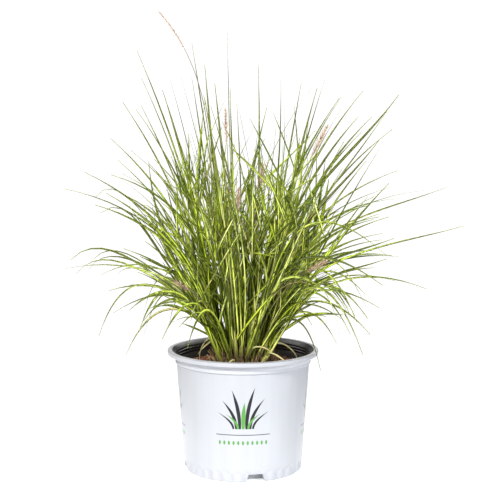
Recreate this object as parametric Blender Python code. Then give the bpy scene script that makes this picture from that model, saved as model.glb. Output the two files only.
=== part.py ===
"""A clump of fountain grass in a round nursery pot, standing on the ground.

Metres, +Z up, -Y is the front. The origin is the middle of the pot's flat underside.
The pot is turned about Z, the soil fills it to just under the rim, and the grass grows
from one crown: leafy shoots that each carry their leaves on a short sheath, and
flowering stems that end in a narrow plume.
"""

import collections
import math
import random

import bpy
import numpy as np
from mathutils import Vector
from mathutils.bvhtree import BVHTree

GAP = 0.0003  # between pieces that touch

# Pot: a tapered tub with a collar and a lip that rolls outwards
POT_HEIGHT = 0.191
LIP_RADIUS = 0.120
LIP_DROP = 0.0065
COLLAR_RADIUS = 0.1078
COLLAR_HEIGHT = 0.014
SHOULDER_RADIUS = 0.1056
BASE_RADIUS = 0.0945
BASE_EDGE = 0.003
WALL = 0.0018
FLOOR = 0.0022
FLUTE_COUNT = 36
FLUTE_TOP = 0.018
FLUTE_DEPTH = 0.0012

# Drain pockets: recesses in the bottom edge, each with a hole in its roof
POCKET_COUNT = 4
POCKET_TURN = math.radians(-78)
POCKET_WIDTH_BOTTOM = 0.035
POCKET_WIDTH_TOP = 0.024
POCKET_HEIGHT = 0.013
POCKET_DEPTH = 0.020
POCKET_INNER_SHARE = 0.8
DRAIN_RADIUS = 0.004
DRAIN_INSET = 0.010
DRAIN_SIDES = 12
DRAIN_CUT_PAST = 0.004
POCKET_CUT_PAST = 0.010

# Soil and the crown that sits in it
SOIL_EDGE_HEIGHT = 0.163
SOIL_MOUND = 0.004
SOIL_LUMPS = 0.0012
SOIL_LUMP_SHIFT = 0.006
CROWN_RADIUS = 0.047
CROWN_BOTTOM = 0.148
CROWN_EDGE_HEIGHT = 0.169
CROWN_DOME = 0.006
CROWN_SEGMENTS = 28

# Shoots
LEAF_HALF_WIDTH = 0.0016
LEAF_HALF_DEPTH = 0.0005
LEAF_THINNEST = 0.4
LEAF_TAPER = 2.5
LEAF_SEGMENTS = 4
SHEATH_RADIUS = 0.0022
SHEATH_TAPER = 0.09
SHEATH_LEVELS = (0.012, 0.030, 0.048, 0.066)
COLLAR_SHARE = 0.07
COLLAR_LIFT = 0.0062
ROOTS_RADIUS = 0.0425
ROOTS_TO_TRY = 7
WIDEST_REACH = 0.26
GOLDEN_ANGLE = math.radians(137.508)
TIP_SPREAD = 0.036
SHORTEST_SHARE = 0.55
LONGEST_SHARE = 0.97
FAN_CURVE = 1.3
CLEARANCE = 0.0004
FLAT_SHARE = 0.8
LIP_CLEARANCE = 0.005
PROBES = 9
TRIES = 240
NUDGE = 0.0005
NUDGE_RISE = 0.3
MEASURED_ACROSS = 0.3
SEED = 12

# Flowering stems
STEM_RADIUS = 0.0010
STEM_FOOT_SWELL = 1.3
STEM_RINGS = 6
PLUME_SIDES = 6
PLUME_SHARES = (0.06, 0.22, 0.5, 0.8, 1.0)
PLUME_SWELL = (0.6, 0.9, 1.0, 0.66)

# The leaves that show in the outline, by shoot. Each leaf is the points that it passes
# through after the crown, the last one its tip: across, deep, up.
MEASURED_SHOOTS = (
    (((0.135, -0.020, 0.325), (0.245, -0.030, 0.365), (0.340, -0.040, 0.390)),
     ((0.105, -0.010, 0.315), (0.185, -0.015, 0.340), (0.245, -0.020, 0.340))),
    (((0.130, 0.045, 0.375), (0.295, 0.070, 0.440)),
     ((0.120, 0.060, 0.345), (0.225, 0.090, 0.400))),
    (((0.105, -0.075, 0.345), (0.215, -0.120, 0.410)),),
    (((0.100, -0.010, 0.380), (0.240, -0.020, 0.475)),
     ((0.105, -0.020, 0.365), (0.190, -0.030, 0.490))),
    (((0.125, 0.080, 0.415), (0.250, 0.120, 0.540)),),
    (((0.110, -0.050, 0.410), (0.150, -0.060, 0.470), (0.215, -0.080, 0.565)),),
    (((0.115, -0.090, 0.350), (0.155, -0.130, 0.435), (0.195, -0.160, 0.510)),),
    (((0.065, -0.040, 0.430), (0.145, -0.060, 0.585)),
     ((0.075, -0.025, 0.415), (0.150, -0.040, 0.570))),
    (((0.075, 0.090, 0.425), (0.125, 0.140, 0.610)),
     ((0.080, 0.080, 0.400), (0.135, 0.120, 0.555))),
    (((0.155, 0.030, 0.295), (0.300, 0.050, 0.280)),
     ((0.110, 0.020, 0.290), (0.210, 0.030, 0.320))),
    (((0.125, -0.040, 0.290), (0.210, -0.060, 0.265)),),
    (((0.140, 0.105, 0.280), (0.215, 0.150, 0.215)),),
    (((0.120, 0.015, 0.265), (0.205, 0.020, 0.210)),
     ((0.090, 0.000, 0.245), (0.160, 0.000, 0.245))),
    (((0.115, -0.090, 0.300), (0.175, -0.150, 0.210)),),
    (((0.115, 0.125, 0.265), (0.190, 0.190, 0.180)),),
    (((0.115, 0.110, 0.310), (0.240, 0.170, 0.350)),),
    (((0.105, -0.115, 0.350), (0.200, -0.170, 0.315)),),
    (((0.090, 0.015, 0.445), (0.190, 0.020, 0.600)),
     ((0.090, 0.020, 0.425), (0.185, 0.030, 0.560))),
    (((0.085, -0.135, 0.405), (0.140, -0.200, 0.520)),
     ((0.085, -0.145, 0.390), (0.130, -0.210, 0.500))),
    (((0.030, 0.035, 0.460), (0.110, 0.050, 0.605)),
     ((0.040, 0.040, 0.395), (0.095, 0.060, 0.555))),
    (((0.025, 0.065, 0.440), (0.025, 0.100, 0.645)),
     ((0.010, 0.060, 0.410), (0.040, 0.090, 0.575))),
    (((0.050, -0.080, 0.450), (0.055, -0.120, 0.610)),
     ((0.055, -0.065, 0.415), (0.060, -0.100, 0.575))),
    (((-0.020, 0.040, 0.475), (-0.025, 0.060, 0.695)),
     ((-0.005, 0.025, 0.410), (-0.010, 0.040, 0.580))),
    (((-0.045, 0.105, 0.450), (-0.065, 0.160, 0.650)),
     ((-0.015, 0.095, 0.400), (-0.055, 0.150, 0.580))),
    (((-0.090, 0.030, 0.445), (-0.170, 0.050, 0.665)),),
    (((-0.055, -0.090, 0.465), (-0.090, -0.130, 0.615)),
     ((-0.045, -0.075, 0.410), (-0.070, -0.110, 0.550))),
    (((-0.030, -0.115, 0.425), (-0.055, -0.180, 0.585)),
     ((-0.005, -0.115, 0.385), (-0.045, -0.190, 0.535))),
    (((-0.090, -0.030, 0.420), (-0.155, -0.050, 0.575)),
     ((-0.085, -0.020, 0.430), (-0.165, -0.030, 0.570))),
    (((-0.095, 0.035, 0.375), (-0.215, 0.060, 0.525)),
     ((-0.095, 0.050, 0.385), (-0.200, 0.070, 0.465))),
    (((-0.095, 0.125, 0.400), (-0.195, 0.180, 0.505)),),
    (((-0.115, -0.065, 0.380), (-0.235, -0.100, 0.475)),
     ((-0.105, -0.055, 0.410), (-0.205, -0.080, 0.465))),
    (((-0.130, 0.015, 0.370), (-0.285, 0.020, 0.445)),
     ((-0.100, 0.020, 0.365), (-0.200, 0.030, 0.440))),
    (((-0.105, -0.125, 0.330), (-0.160, -0.190, 0.430)),
     ((-0.095, -0.115, 0.325), (-0.155, -0.180, 0.425))),
    (((-0.095, 0.035, 0.265), (-0.170, 0.055, 0.320), (-0.240, 0.070, 0.345), (-0.285, 0.080, 0.325)),),
    (((-0.140, -0.030, 0.315), (-0.275, -0.050, 0.325)),
     ((-0.100, -0.025, 0.310), (-0.185, -0.040, 0.355))),
    (((-0.135, 0.095, 0.275), (-0.230, 0.140, 0.265)),
     ((-0.100, 0.105, 0.290), (-0.180, 0.150, 0.305))),
    (((-0.120, -0.095, 0.290), (-0.190, -0.140, 0.270)),),
    (((-0.125, 0.020, 0.250), (-0.190, 0.030, 0.175)),
     ((-0.085, 0.015, 0.260), (-0.155, 0.020, 0.250))),
    (((-0.125, 0.130, 0.265), (-0.175, 0.190, 0.180)),),
    (((-0.085, -0.135, 0.280), (-0.115, -0.190, 0.240)),
     ((-0.060, -0.120, 0.270), (-0.080, -0.180, 0.225))),
    (((-0.120, 0.120, 0.330), (-0.165, 0.200, 0.485)),
     ((-0.065, 0.120, 0.355), (-0.125, 0.190, 0.495))),
    (((-0.095, 0.060, 0.285), (-0.170, 0.095, 0.380), (-0.215, 0.115, 0.410), (-0.240, 0.120, 0.400)),),
    (((-0.055, -0.135, 0.400), (-0.090, -0.200, 0.525)),
     ((-0.045, -0.125, 0.400), (-0.075, -0.190, 0.525))),
)

# Shoots that lean to the front and the back, where the outline shows nothing of them
HIDDEN_HEADINGS = (-118, -97, -80, -62, 62, 90, 117)
HIDDEN_REACH = 0.215
HIDDEN_RISE = 0.225
HIDDEN_BEND = (0.42, 0.74)

# Flowering stems: the points each passes through, then the length and radius of its plume
FLOWER_STEMS = (
    (((0.072, 0.030, 0.400), (0.137, 0.060, 0.545)), 0.060, 0.0048),
    (((0.014, -0.040, 0.350), (0.030, -0.075, 0.485)), 0.040, 0.0045),
    (((-0.018, 0.015, 0.380), (-0.028, 0.020, 0.572)), 0.055, 0.0032),
    (((-0.010, -0.060, 0.310), (-0.006, -0.100, 0.450)), 0.040, 0.0042),
    (((0.052, -0.070, 0.280), (0.122, -0.130, 0.345)), 0.038, 0.0038),
    (((-0.050, -0.075, 0.265), (-0.100, -0.130, 0.315)), 0.034, 0.0036),
    (((-0.050, 0.000, 0.475), (-0.064, 0.000, 0.590), (-0.132, 0.000, 0.722)), 0.070, 0.0020),
)


def clear_scene():
    for obj in list(bpy.data.objects):
        bpy.data.objects.remove(obj, do_unlink=True)


def make_material(name, colour, roughness):
    material = bpy.data.materials.new(name)
    material.use_nodes = True
    shader = material.node_tree.nodes["Principled BSDF"]
    shader.inputs["Base Color"].default_value = (*colour, 1)
    shader.inputs["Roughness"].default_value = roughness
    shader.inputs["Metallic"].default_value = 0
    return material


def make_object(name, points, faces, material=None):
    mesh = bpy.data.meshes.new(name)
    mesh.from_pydata([tuple(map(float, p)) for p in points], [], faces)
    mesh.validate()
    obj = bpy.data.objects.new(name, mesh)
    bpy.context.scene.collection.objects.link(obj)
    if material:
        mesh.materials.append(material)
    return obj


def shade_round(obj, degrees=35):
    """Smooth shading that keeps the corners sharper than the given angle."""
    for polygon in obj.data.polygons:
        polygon.use_smooth = True
    obj.data.set_sharp_from_angle(angle=math.radians(degrees))


def as_cutter(obj):
    obj.hide_render = True
    obj.display_type = "WIRE"
    return obj


def cut(obj, cutter):
    modifier = obj.modifiers.new("cut " + cutter.name, "BOOLEAN")
    modifier.operation = "DIFFERENCE"
    modifier.solver = "EXACT"
    modifier.object = cutter


# --- turned pieces ---------------------------------------------------------------


def turned(name, profile, segments, material=None, shift=None, fine_rings=0):
    """A solid of revolution from (radius, height) points that run up from the axis and back to it.

    The lowest fine_rings rings have two corners to each segment. shift(ring, turn) may move
    one corner by a (radius, height) pair.
    """
    rings = []
    points = [(0, 0, profile[0][1])]
    for ring, (radius, height) in enumerate(profile[1:-1]):
        corners = segments * (2 if ring < fine_rings else 1)
        rings.append([len(points) + turn for turn in range(corners)])
        for turn in range(corners):
            angle = 2 * math.pi * turn / corners
            out, up = shift(ring, turn) if shift else (0, 0)
            r = radius + out
            points.append((r * math.cos(angle), r * math.sin(angle), height + up))
    points.append((0, 0, profile[-1][1]))
    last = len(points) - 1

    faces = [(0, rings[0][turn - 1], rings[0][turn - 2]) for turn in range(len(rings[0]))]
    for low, high in zip(rings, rings[1:]):
        step = len(low) // len(high)
        for turn in range(len(high)):
            below = [low[(turn * step + k) % len(low)] for k in range(step + 1)]
            faces.append((*below, high[(turn + 1) % len(high)], high[turn]))
    faces += [(rings[-1][turn - 2], rings[-1][turn - 1], last) for turn in range(len(rings[-1]))]
    return make_object(name, points, faces, material)


def body_radius(height):
    """Outside of the plain wall, between the bottom edge and the collar."""
    top = POT_HEIGHT - LIP_DROP - COLLAR_HEIGHT
    share = (height - BASE_EDGE) / (top - BASE_EDGE)
    return BASE_RADIUS + (SHOULDER_RADIUS - BASE_RADIUS) * share


def pot_outside():
    step = POT_HEIGHT - LIP_DROP - COLLAR_HEIGHT
    under_lip = POT_HEIGHT - LIP_DROP
    profile = [
        (0, 0),
        (BASE_RADIUS - BASE_EDGE, 0),
        (body_radius(BASE_EDGE), BASE_EDGE),
        (body_radius(FLUTE_TOP - 0.003), FLUTE_TOP - 0.003),
        (body_radius(FLUTE_TOP), FLUTE_TOP),
        (SHOULDER_RADIUS, step),
        (COLLAR_RADIUS, step + 0.001),
        (COLLAR_RADIUS + 0.0004, under_lip + 0.0018),
        (LIP_RADIUS - 0.0022, under_lip + 0.0032),
        (LIP_RADIUS - 0.0008, under_lip),
        (LIP_RADIUS, POT_HEIGHT - 0.0016),
        (LIP_RADIUS - 0.0016, POT_HEIGHT),
        (0, POT_HEIGHT),
    ]
    fluted_rings = (1, 2)

    def flute(ring, turn):
        return (-FLUTE_DEPTH, 0) if ring in fluted_rings and turn % 2 else (0, 0)

    return turned("pot", profile, FLUTE_COUNT, shift=flute, fine_rings=4)


def cavity_profile(inset=0.0, top=POT_HEIGHT):
    """The inside of the pot's wall and floor, drawn in by inset."""
    step = POT_HEIGHT - LIP_DROP - COLLAR_HEIGHT
    back = WALL + inset
    return [
        (0, FLOOR + inset),
        (BASE_RADIUS - back - BASE_EDGE, FLOOR + inset),
        (body_radius(FLOOR + BASE_EDGE) - back - FLUTE_DEPTH, FLOOR + BASE_EDGE),
        (SHOULDER_RADIUS - back, step - 0.001),
        (COLLAR_RADIUS - back, step + 0.003),
        (COLLAR_RADIUS - back + 0.0003, POT_HEIGHT - LIP_DROP + 0.001),
        (LIP_RADIUS - 0.0082, POT_HEIGHT - 0.0004),
        (LIP_RADIUS - 0.0076, top + 0.002),
        (0, top + 0.002),
    ]


def pocket_blocks(name, grow=0.0):
    """Tapered blocks round the bottom edge, each one the space of a drain pocket."""
    outer, inner = BASE_RADIUS + POCKET_DEPTH, BASE_RADIUS - POCKET_DEPTH - grow
    low, high = -POCKET_CUT_PAST, POCKET_HEIGHT + grow
    slope = (POCKET_WIDTH_BOTTOM - POCKET_WIDTH_TOP) / 2 / POCKET_HEIGHT
    narrow = POCKET_INNER_SHARE
    points, faces = [], []
    for pocket in range(POCKET_COUNT):
        angle = POCKET_TURN + 2 * math.pi * pocket / POCKET_COUNT
        out = Vector((math.cos(angle), math.sin(angle), 0))
        side = Vector((-out.y, out.x, 0))
        start = len(points)
        for height in (low, high):
            half = POCKET_WIDTH_BOTTOM / 2 + grow - slope * height
            for radius, across in ((inner, -narrow), (outer, -1), (outer, 1), (inner, narrow)):
                points.append(out * radius + side * (half * across) + Vector((0, 0, height)))
        corners = [start + k for k in range(8)]
        faces.append((corners[3], corners[2], corners[1], corners[0]))
        faces.append((corners[4], corners[5], corners[6], corners[7]))
        for k in range(4):
            n = (k + 1) % 4
            faces.append((corners[k], corners[n], corners[4 + n]))
            faces.append((corners[k], corners[4 + n], corners[4 + k]))
    return as_cutter(make_object(name, points, faces))


def drain_holes():
    sides = DRAIN_SIDES
    points, faces = [], []
    for pocket in range(POCKET_COUNT):
        angle = POCKET_TURN + 2 * math.pi * pocket / POCKET_COUNT
        reach = BASE_RADIUS - DRAIN_INSET
        centre = Vector((reach * math.cos(angle), reach * math.sin(angle), 0))
        start = len(points)
        for height in (POCKET_HEIGHT - DRAIN_CUT_PAST, POCKET_HEIGHT + WALL + DRAIN_CUT_PAST):
            for k in range(sides):
                turn = 2 * math.pi * k / sides
                ring = Vector((math.cos(turn), math.sin(turn), 0)) * DRAIN_RADIUS
                points.append(centre + ring + Vector((0, 0, height)))
        faces.append([start + k for k in reversed(range(sides))])
        faces.append([start + sides + k for k in range(sides)])
        for k in range(sides):
            n = (k + 1) % sides
            faces.append((start + k, start + n, start + sides + n, start + sides + k))
    return as_cutter(make_object("drain_holes", points, faces))


def make_pot():
    pot = pot_outside()
    inside = as_cutter(turned("pot_inside", cavity_profile(), FLUTE_COUNT))
    cut(inside, pocket_blocks("pocket_walls", grow=WALL))
    cut(pot, pocket_blocks("pockets"))
    cut(pot, inside)
    cut(pot, drain_holes())
    pot.data.materials.append(make_material("pot_plastic", (0.78, 0.81, 0.87), 0.38))
    shade_round(pot)


def make_soil():
    rng = random.Random(SEED)
    below_rim = [p for p in cavity_profile(inset=GAP) if p[1] < SOIL_EDGE_HEIGHT - 0.01]
    edge = body_radius(SOIL_EDGE_HEIGHT) - WALL - GAP
    recess = CROWN_RADIUS + GAP
    mid = (edge + recess) / 2
    profile = below_rim + [
        (edge, SOIL_EDGE_HEIGHT),
        (mid, SOIL_EDGE_HEIGHT + 0.7 * SOIL_MOUND),
        (recess, SOIL_EDGE_HEIGHT + SOIL_MOUND),
        (recess, CROWN_BOTTOM - GAP),
        (0, CROWN_BOTTOM - GAP),
    ]
    lumpy_ring = len(profile) - 5
    material = make_material("potting_soil", (0.045, 0.028, 0.02), 0.95)

    def lumps(ring, turn):
        if ring != lumpy_ring:
            return 0, 0
        return rng.uniform(-SOIL_LUMP_SHIFT, SOIL_LUMP_SHIFT), rng.uniform(-1, 1) * SOIL_LUMPS

    soil = turned("soil", profile, FLUTE_COUNT, material, lumps)
    cut(soil, pocket_blocks("pocket_walls_in_soil", grow=WALL + GAP))
    shade_round(soil, 50)


def crown_top(radius):
    return CROWN_EDGE_HEIGHT + CROWN_DOME * (1 - (radius / CROWN_RADIUS) ** 2)


def make_crown():
    rings = [CROWN_RADIUS * share for share in (1.0, 0.8, 0.5)]
    profile = [(0, CROWN_BOTTOM), (CROWN_RADIUS, CROWN_BOTTOM)]
    profile += [(radius, crown_top(radius)) for radius in rings]
    profile += [(0, crown_top(0))]
    crown = turned("crown", profile, CROWN_SEGMENTS, make_material("grass_crown", (0.19, 0.16, 0.06), 0.8))
    shade_round(crown)


# --- leaf lines ------------------------------------------------------------------


def smooth_line(points, shares):
    """Places along the one smooth curve through all the points, at shares of its length."""
    points = np.array(points, float)
    steps = np.linalg.norm(np.diff(points, axis=0), axis=1)
    reach = np.concatenate([[0], np.cumsum(steps)]) / steps.sum()
    fit = np.polyfit(reach, points, len(points) - 1)
    return np.stack([np.polyval(fit[:, axis], shares) for axis in range(3)], axis=1)


def segment_gaps(a0, a1, b0, b1):
    """Shortest distance from each segment a to each segment b, one row for each a."""
    a0, a1 = a0[:, None, :], a1[:, None, :]
    b0, b1 = b0[None, :, :], b1[None, :, :]
    da, db, start = a1 - a0, b1 - b0, a0 - b0
    aa, bb, ab = (da * da).sum(-1), (db * db).sum(-1), (da * db).sum(-1)
    sa, sb = (da * start).sum(-1), (db * start).sum(-1)
    away = np.maximum(aa * bb - ab * ab, 1e-18)
    s = np.clip((ab * sb - sa * bb) / away, 0, 1)
    t = (ab * s + sb) / bb
    s = np.where(t < 0, np.clip(-sa / aa, 0, 1), np.where(t > 1, np.clip((ab - sa) / aa, 0, 1), s))
    t = np.clip(t, 0, 1)
    return np.linalg.norm(start + da * s[..., None] - db * t[..., None], axis=-1)


def frames_along(line, out):
    """A side and an underside direction at each place on a line that leans towards out."""
    tangents = np.gradient(line, axis=0)
    tangents /= np.linalg.norm(tangents, axis=1)[:, None]
    side = np.array((-out[1], out[0], 0.0))
    side /= max(np.linalg.norm(side), 1e-9)
    sides = side - tangents * (tangents @ side)[:, None]
    sides /= np.linalg.norm(sides, axis=1)[:, None]
    return sides, np.cross(sides, tangents)


def clear_of_pot(line):
    """True where the line passes over the lip or outside it, and does not dip into the soil."""
    shares = np.linspace(0, 1, PROBES)[:, None, None]
    places = (line[:-1] * (1 - shares) + line[1:] * shares).reshape(-1, 3)
    radius, height = np.hypot(places[:, 0], places[:, 1]), places[:, 2]
    in_lip = (radius > SHOULDER_RADIUS - LIP_CLEARANCE) & (radius < LIP_RADIUS + LIP_CLEARANCE)
    in_lip &= height < POT_HEIGHT + LIP_CLEARANCE
    in_soil = (radius > CROWN_RADIUS) & (radius < SHOULDER_RADIUS)
    in_soil &= height < CROWN_EDGE_HEIGHT + LIP_CLEARANCE
    return not (in_lip | in_soil).any()


NO_STEM = -1


class Thicket:
    """What already stands: each line, how thick its stretches are, its stem, and the solids."""

    def __init__(self):
        self.trees = {}
        self.starts = np.empty((0, 3))
        self.ends = np.empty((0, 3))
        self.radii = np.empty(0)
        self.stems = np.empty(0, int)

    def clear_of(self, line, radii, stem):
        """True where the line keeps its clearance. Its own stem may hold its first segment."""
        if not clear_of_pot(line):
            return False
        if not len(self.starts):
            return True
        apart = segment_gaps(line[:-1], line[1:], self.starts, self.ends)
        apart -= radii[:, None] + self.radii[None, :] + CLEARANCE
        apart[0, self.stems == stem] = 1
        return bool((apart > 0).all())

    def accepts(self, stem, solid):
        """Keeps the stem's solid if its surface crosses neither itself nor another's."""
        triangles = solid.triangles()
        tree = BVHTree.FromPolygons([Vector(map(float, p)) for p in solid.points], triangles)
        for first, second in tree.overlap(tree):
            if not set(triangles[first]) & set(triangles[second]):
                return False
        if any(tree.overlap(other) for owner, other in self.trees.items() if owner != stem):
            return False
        self.trees[stem] = tree
        return True

    def add(self, line, radii, stem=NO_STEM):
        self.starts = np.vstack([self.starts, line[:-1]])
        self.ends = np.vstack([self.ends, line[1:]])
        self.radii = np.concatenate([self.radii, radii])
        self.stems = np.concatenate([self.stems, np.full(len(radii), stem)])


SIDE_SHARES = np.concatenate([[0.0], np.linspace(COLLAR_SHARE, 1, LEAF_SEGMENTS)])
SIDE_LIFTS = np.concatenate([[0.0], np.linspace(1, 0, LEAF_SEGMENTS)])


def leaf_width(share):
    """Half width along a leaf: it narrows slowly, then runs out to a point."""
    return LEAF_HALF_WIDTH * (1 - share ** LEAF_TAPER)


SIDE_RADII = FLAT_SHARE * np.array([leaf_width(share) for share in SIDE_SHARES[:-1]])
SideLeaf = collections.namedtuple("SideLeaf", "face line")


class Shoot:
    """One shoot: its root on the crown, its leading leaf and the leaves from its sheath."""

    def __init__(self, stem, lead, across):
        self.stem = stem
        self.lead = lead
        self.across = across
        self.side_leaves = {}

    def settle_lead(self):
        path = np.vstack([self.root, self.lead])
        length = np.linalg.norm(np.diff(path, axis=0), axis=1).sum()
        sheath = [0.0] + [level / length for level in SHEATH_LEVELS]
        blade = list(np.linspace(sheath[-1], 1, LEAF_SEGMENTS + 1)[1:])
        self.shares = np.array(sheath + blade)
        self.line = smooth_line(path, self.shares)
        count = len(SHEATH_LEVELS)
        widths = np.array([SHEATH_RADIUS * (1 - SHEATH_TAPER * k) for k in range(count + 1)]
                          + [leaf_width(share) for share in blade])
        self.widths = widths
        self.sides, self.unders = frames_along(self.line, self.line[-1] - self.root)
        return self.line, np.maximum(widths[:-1], widths[1:])

    def free_levels(self):
        return [level for level in range(len(SHEATH_LEVELS)) if level not in self.side_leaves]

    def side_start(self, level):
        return (self.line[level] + self.line[level + 1]) / 2

    def face_normal(self, level, face):
        """Out of one of the sheath's three faces: it lies between two corners of the ring."""
        turn = 2 * math.pi * (face + 0.5) / 3
        return self.unders[level] * math.cos(turn) + self.sides[level] * math.sin(turn)

    def side_leaf(self, level, points):
        """A leaf from the sheath to these points, lifted off the face that it grows from."""
        start = self.side_start(level)
        heading = points[-1] - start
        along = self.line[level + 1] - self.line[level]
        heading = heading - along * (heading @ along) / (along @ along)
        face = max(range(3), key=lambda k: self.face_normal(level, k) @ heading)
        line = smooth_line(np.vstack([start, points]), SIDE_SHARES)
        line += self.face_normal(level, face) * (COLLAR_LIFT * SIDE_LIFTS)[:, None]
        return SideLeaf(face, line)

    def takes(self, level, points, thicket):
        """Grows the leaf from this stretch of sheath if it stands clear there."""
        leaf = self.side_leaf(level, points)
        if not thicket.clear_of(leaf.line, SIDE_RADII, self.stem):
            return False
        self.side_leaves[level] = leaf
        if not thicket.accepts(self.stem, shoot_solid(self)):
            del self.side_leaves[level]
            return False
        thicket.add(leaf.line, SIDE_RADII)
        return True


def root_places(count):
    """Places on the crown, spread like seeds in a head."""
    places = []
    for k in range(count):
        radius = ROOTS_RADIUS * math.sqrt((k + 0.5) / count)
        angle = k * GOLDEN_ANGLE
        height = crown_top(radius) + GAP
        places.append(np.array((radius * math.cos(angle), radius * math.sin(angle), height)))
    return places


def nearest_places(places, tip):
    """The free places in order, from the one that lies under a leaf's tip on the crown's own scale."""
    wanted = np.array(tip[:2]) * (ROOTS_RADIUS / WIDEST_REACH)
    wanted /= max(1, np.linalg.norm(wanted) / ROOTS_RADIUS)
    return sorted(range(len(places)), key=lambda k: np.linalg.norm(places[k][:2] - wanted))


def hidden_lead(heading, rng):
    angle = math.radians(heading)
    reach = HIDDEN_REACH * rng.uniform(0.85, 1.15)
    rise = HIDDEN_RISE * rng.uniform(0.9, 1.25)
    out = np.array((math.cos(angle), math.sin(angle), 0))
    base = np.array((0, 0, CROWN_EDGE_HEIGHT))
    bend_out, bend_up = HIDDEN_BEND
    bend = base + out * reach * bend_out + (0, 0, rise * bend_up)
    return [bend, base + out * reach + (0, 0, rise)]


def nudges(rng, across):
    """Small moves to try on a leaf, the smallest first, mostly in depth where across is small."""
    yield np.zeros(3)
    for k in range(1, TRIES):
        size = NUDGE * k
        sideways = rng.uniform(-across, across)
        deep = rng.choice((-1, 1))
        yield np.array((sideways, deep, rng.uniform(-NUDGE_RISE, NUDGE_RISE))) * size


def grow_lead(shoot, places, thicket, rng):
    """The leading leaf, from the first nearby root that leaves it clear. False where none does."""
    wanted = np.array(shoot.lead)
    growth = np.linspace(0, 1, len(wanted) + 1)[1:, None]
    nearby = nearest_places(places, wanted[-1])[:ROOTS_TO_TRY]
    for move in nudges(rng, shoot.across):
        shoot.lead = wanted + move * growth
        for place in nearby:
            shoot.root = places[place]
            line, radii = shoot.settle_lead()
            clear = thicket.clear_of(line, radii, shoot.stem)
            if clear and thicket.accepts(shoot.stem, shoot_solid(shoot)):
                thicket.add(line, radii, shoot.stem)
                places.pop(place)
                return True
    return False


def grow_side(shoot, points, thicket, rng):
    """A measured leaf, from the first free stretch of sheath that it stands clear from."""
    wanted = np.array(points)
    growth = np.linspace(0, 1, len(wanted) + 1)[1:, None]
    for move in nudges(rng, shoot.across):
        for level in shoot.free_levels():
            if shoot.takes(level, wanted + move * growth, thicket):
                return


def draw_side(shoot, level, thicket, rng):
    """A leaf that follows the leading one, shorter and fanned out from it."""
    start = shoot.side_start(level)
    along = np.array(shoot.lead) - shoot.root
    heading = along[-1] / np.linalg.norm(along[-1])
    across = np.cross(heading, (0, 0, 1))
    across /= np.linalg.norm(across)
    up = np.cross(across, heading)
    growth = np.linspace(0, 1, len(along) + 1)[1:, None] ** FAN_CURVE
    for k in range(TRIES):
        share = rng.uniform(SHORTEST_SHARE, LONGEST_SHARE)
        angle = rng.uniform(0, 2 * math.pi)
        spread = TIP_SPREAD * math.sqrt(rng.uniform(0.1, 1))
        fan = (across * math.cos(angle) + up * math.sin(angle)) * spread
        points = start + along * share + fan * growth
        if shoot.takes(level, points, thicket):
            return


def grow_clump():
    """Every shoot and flowering stem, no two of them touching."""
    rng = random.Random(SEED)
    measured = [leaves[0] for leaves in MEASURED_SHOOTS]
    hidden = [hidden_lead(heading, rng) for heading in HIDDEN_HEADINGS]
    places = root_places(len(measured) + len(hidden) + len(FLOWER_STEMS))
    thicket = Thicket()
    stem_lines = []
    for points, length, radius in FLOWER_STEMS:
        root = places.pop(nearest_places(places, points[-1])[0])
        line, radii = stem_line(root, points, length, radius)
        thicket.add(line, radii)
        thicket.accepts(("flower", len(stem_lines)), stem_solid(line, radius))
        stem_lines.append(line)
    shoots = [Shoot(number, lead, MEASURED_ACROSS) for number, lead in enumerate(measured)]
    shoots += [Shoot(len(measured) + number, lead, 1) for number, lead in enumerate(hidden)]
    shoots = [shoot for shoot in shoots if grow_lead(shoot, places, thicket, rng)]
    for shoot in shoots:
        if shoot.stem < len(measured):
            for points in MEASURED_SHOOTS[shoot.stem][1:]:
                grow_side(shoot, points, thicket, rng)
    for level in range(len(SHEATH_LEVELS)):
        for shoot in shoots:
            if level in shoot.free_levels():
                draw_side(shoot, level, thicket, rng)
    return shoots, stem_lines


# --- leaf and stem solids --------------------------------------------------------


def round_ring(place, side, under, radius, count=3):
    turns = [2 * math.pi * k / count for k in range(count)]
    return [place + (under * math.cos(turn) + side * math.sin(turn)) * radius for turn in turns]


def blade_ring(place, side, keel, width):
    """A shallow V across a leaf: its keel, then one edge, then the other."""
    depth = LEAF_HALF_DEPTH * (LEAF_THINNEST + (1 - LEAF_THINNEST) * width / LEAF_HALF_WIDTH)
    return [place + keel * depth, place + side * width - keel * depth, place - side * width - keel * depth]


class Solid:
    """Points and faces of one closed body, put together from rings."""

    def __init__(self):
        self.points = []
        self.faces = []

    def ring(self, places):
        first = len(self.points)
        self.points.extend(places)
        return list(range(first, len(self.points)))

    def triangles(self):
        return [(face[0], face[k], face[k + 1]) for face in self.faces for k in range(1, len(face) - 1)]

    def tube(self, low, high):
        count = len(low)
        for k in range(count):
            n = (k + 1) % count
            self.faces.append((low[k], low[n], high[n], high[k]))

    def tip(self, ring, place):
        self.points.append(place)
        last = len(self.points) - 1
        count = len(ring)
        for k in range(count):
            self.faces.append((ring[k], ring[(k + 1) % count], last))


def on_crown(place):
    """The place set down on the crown's dome."""
    return np.array((place[0], place[1], crown_top(np.hypot(place[0], place[1])) + GAP))


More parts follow.
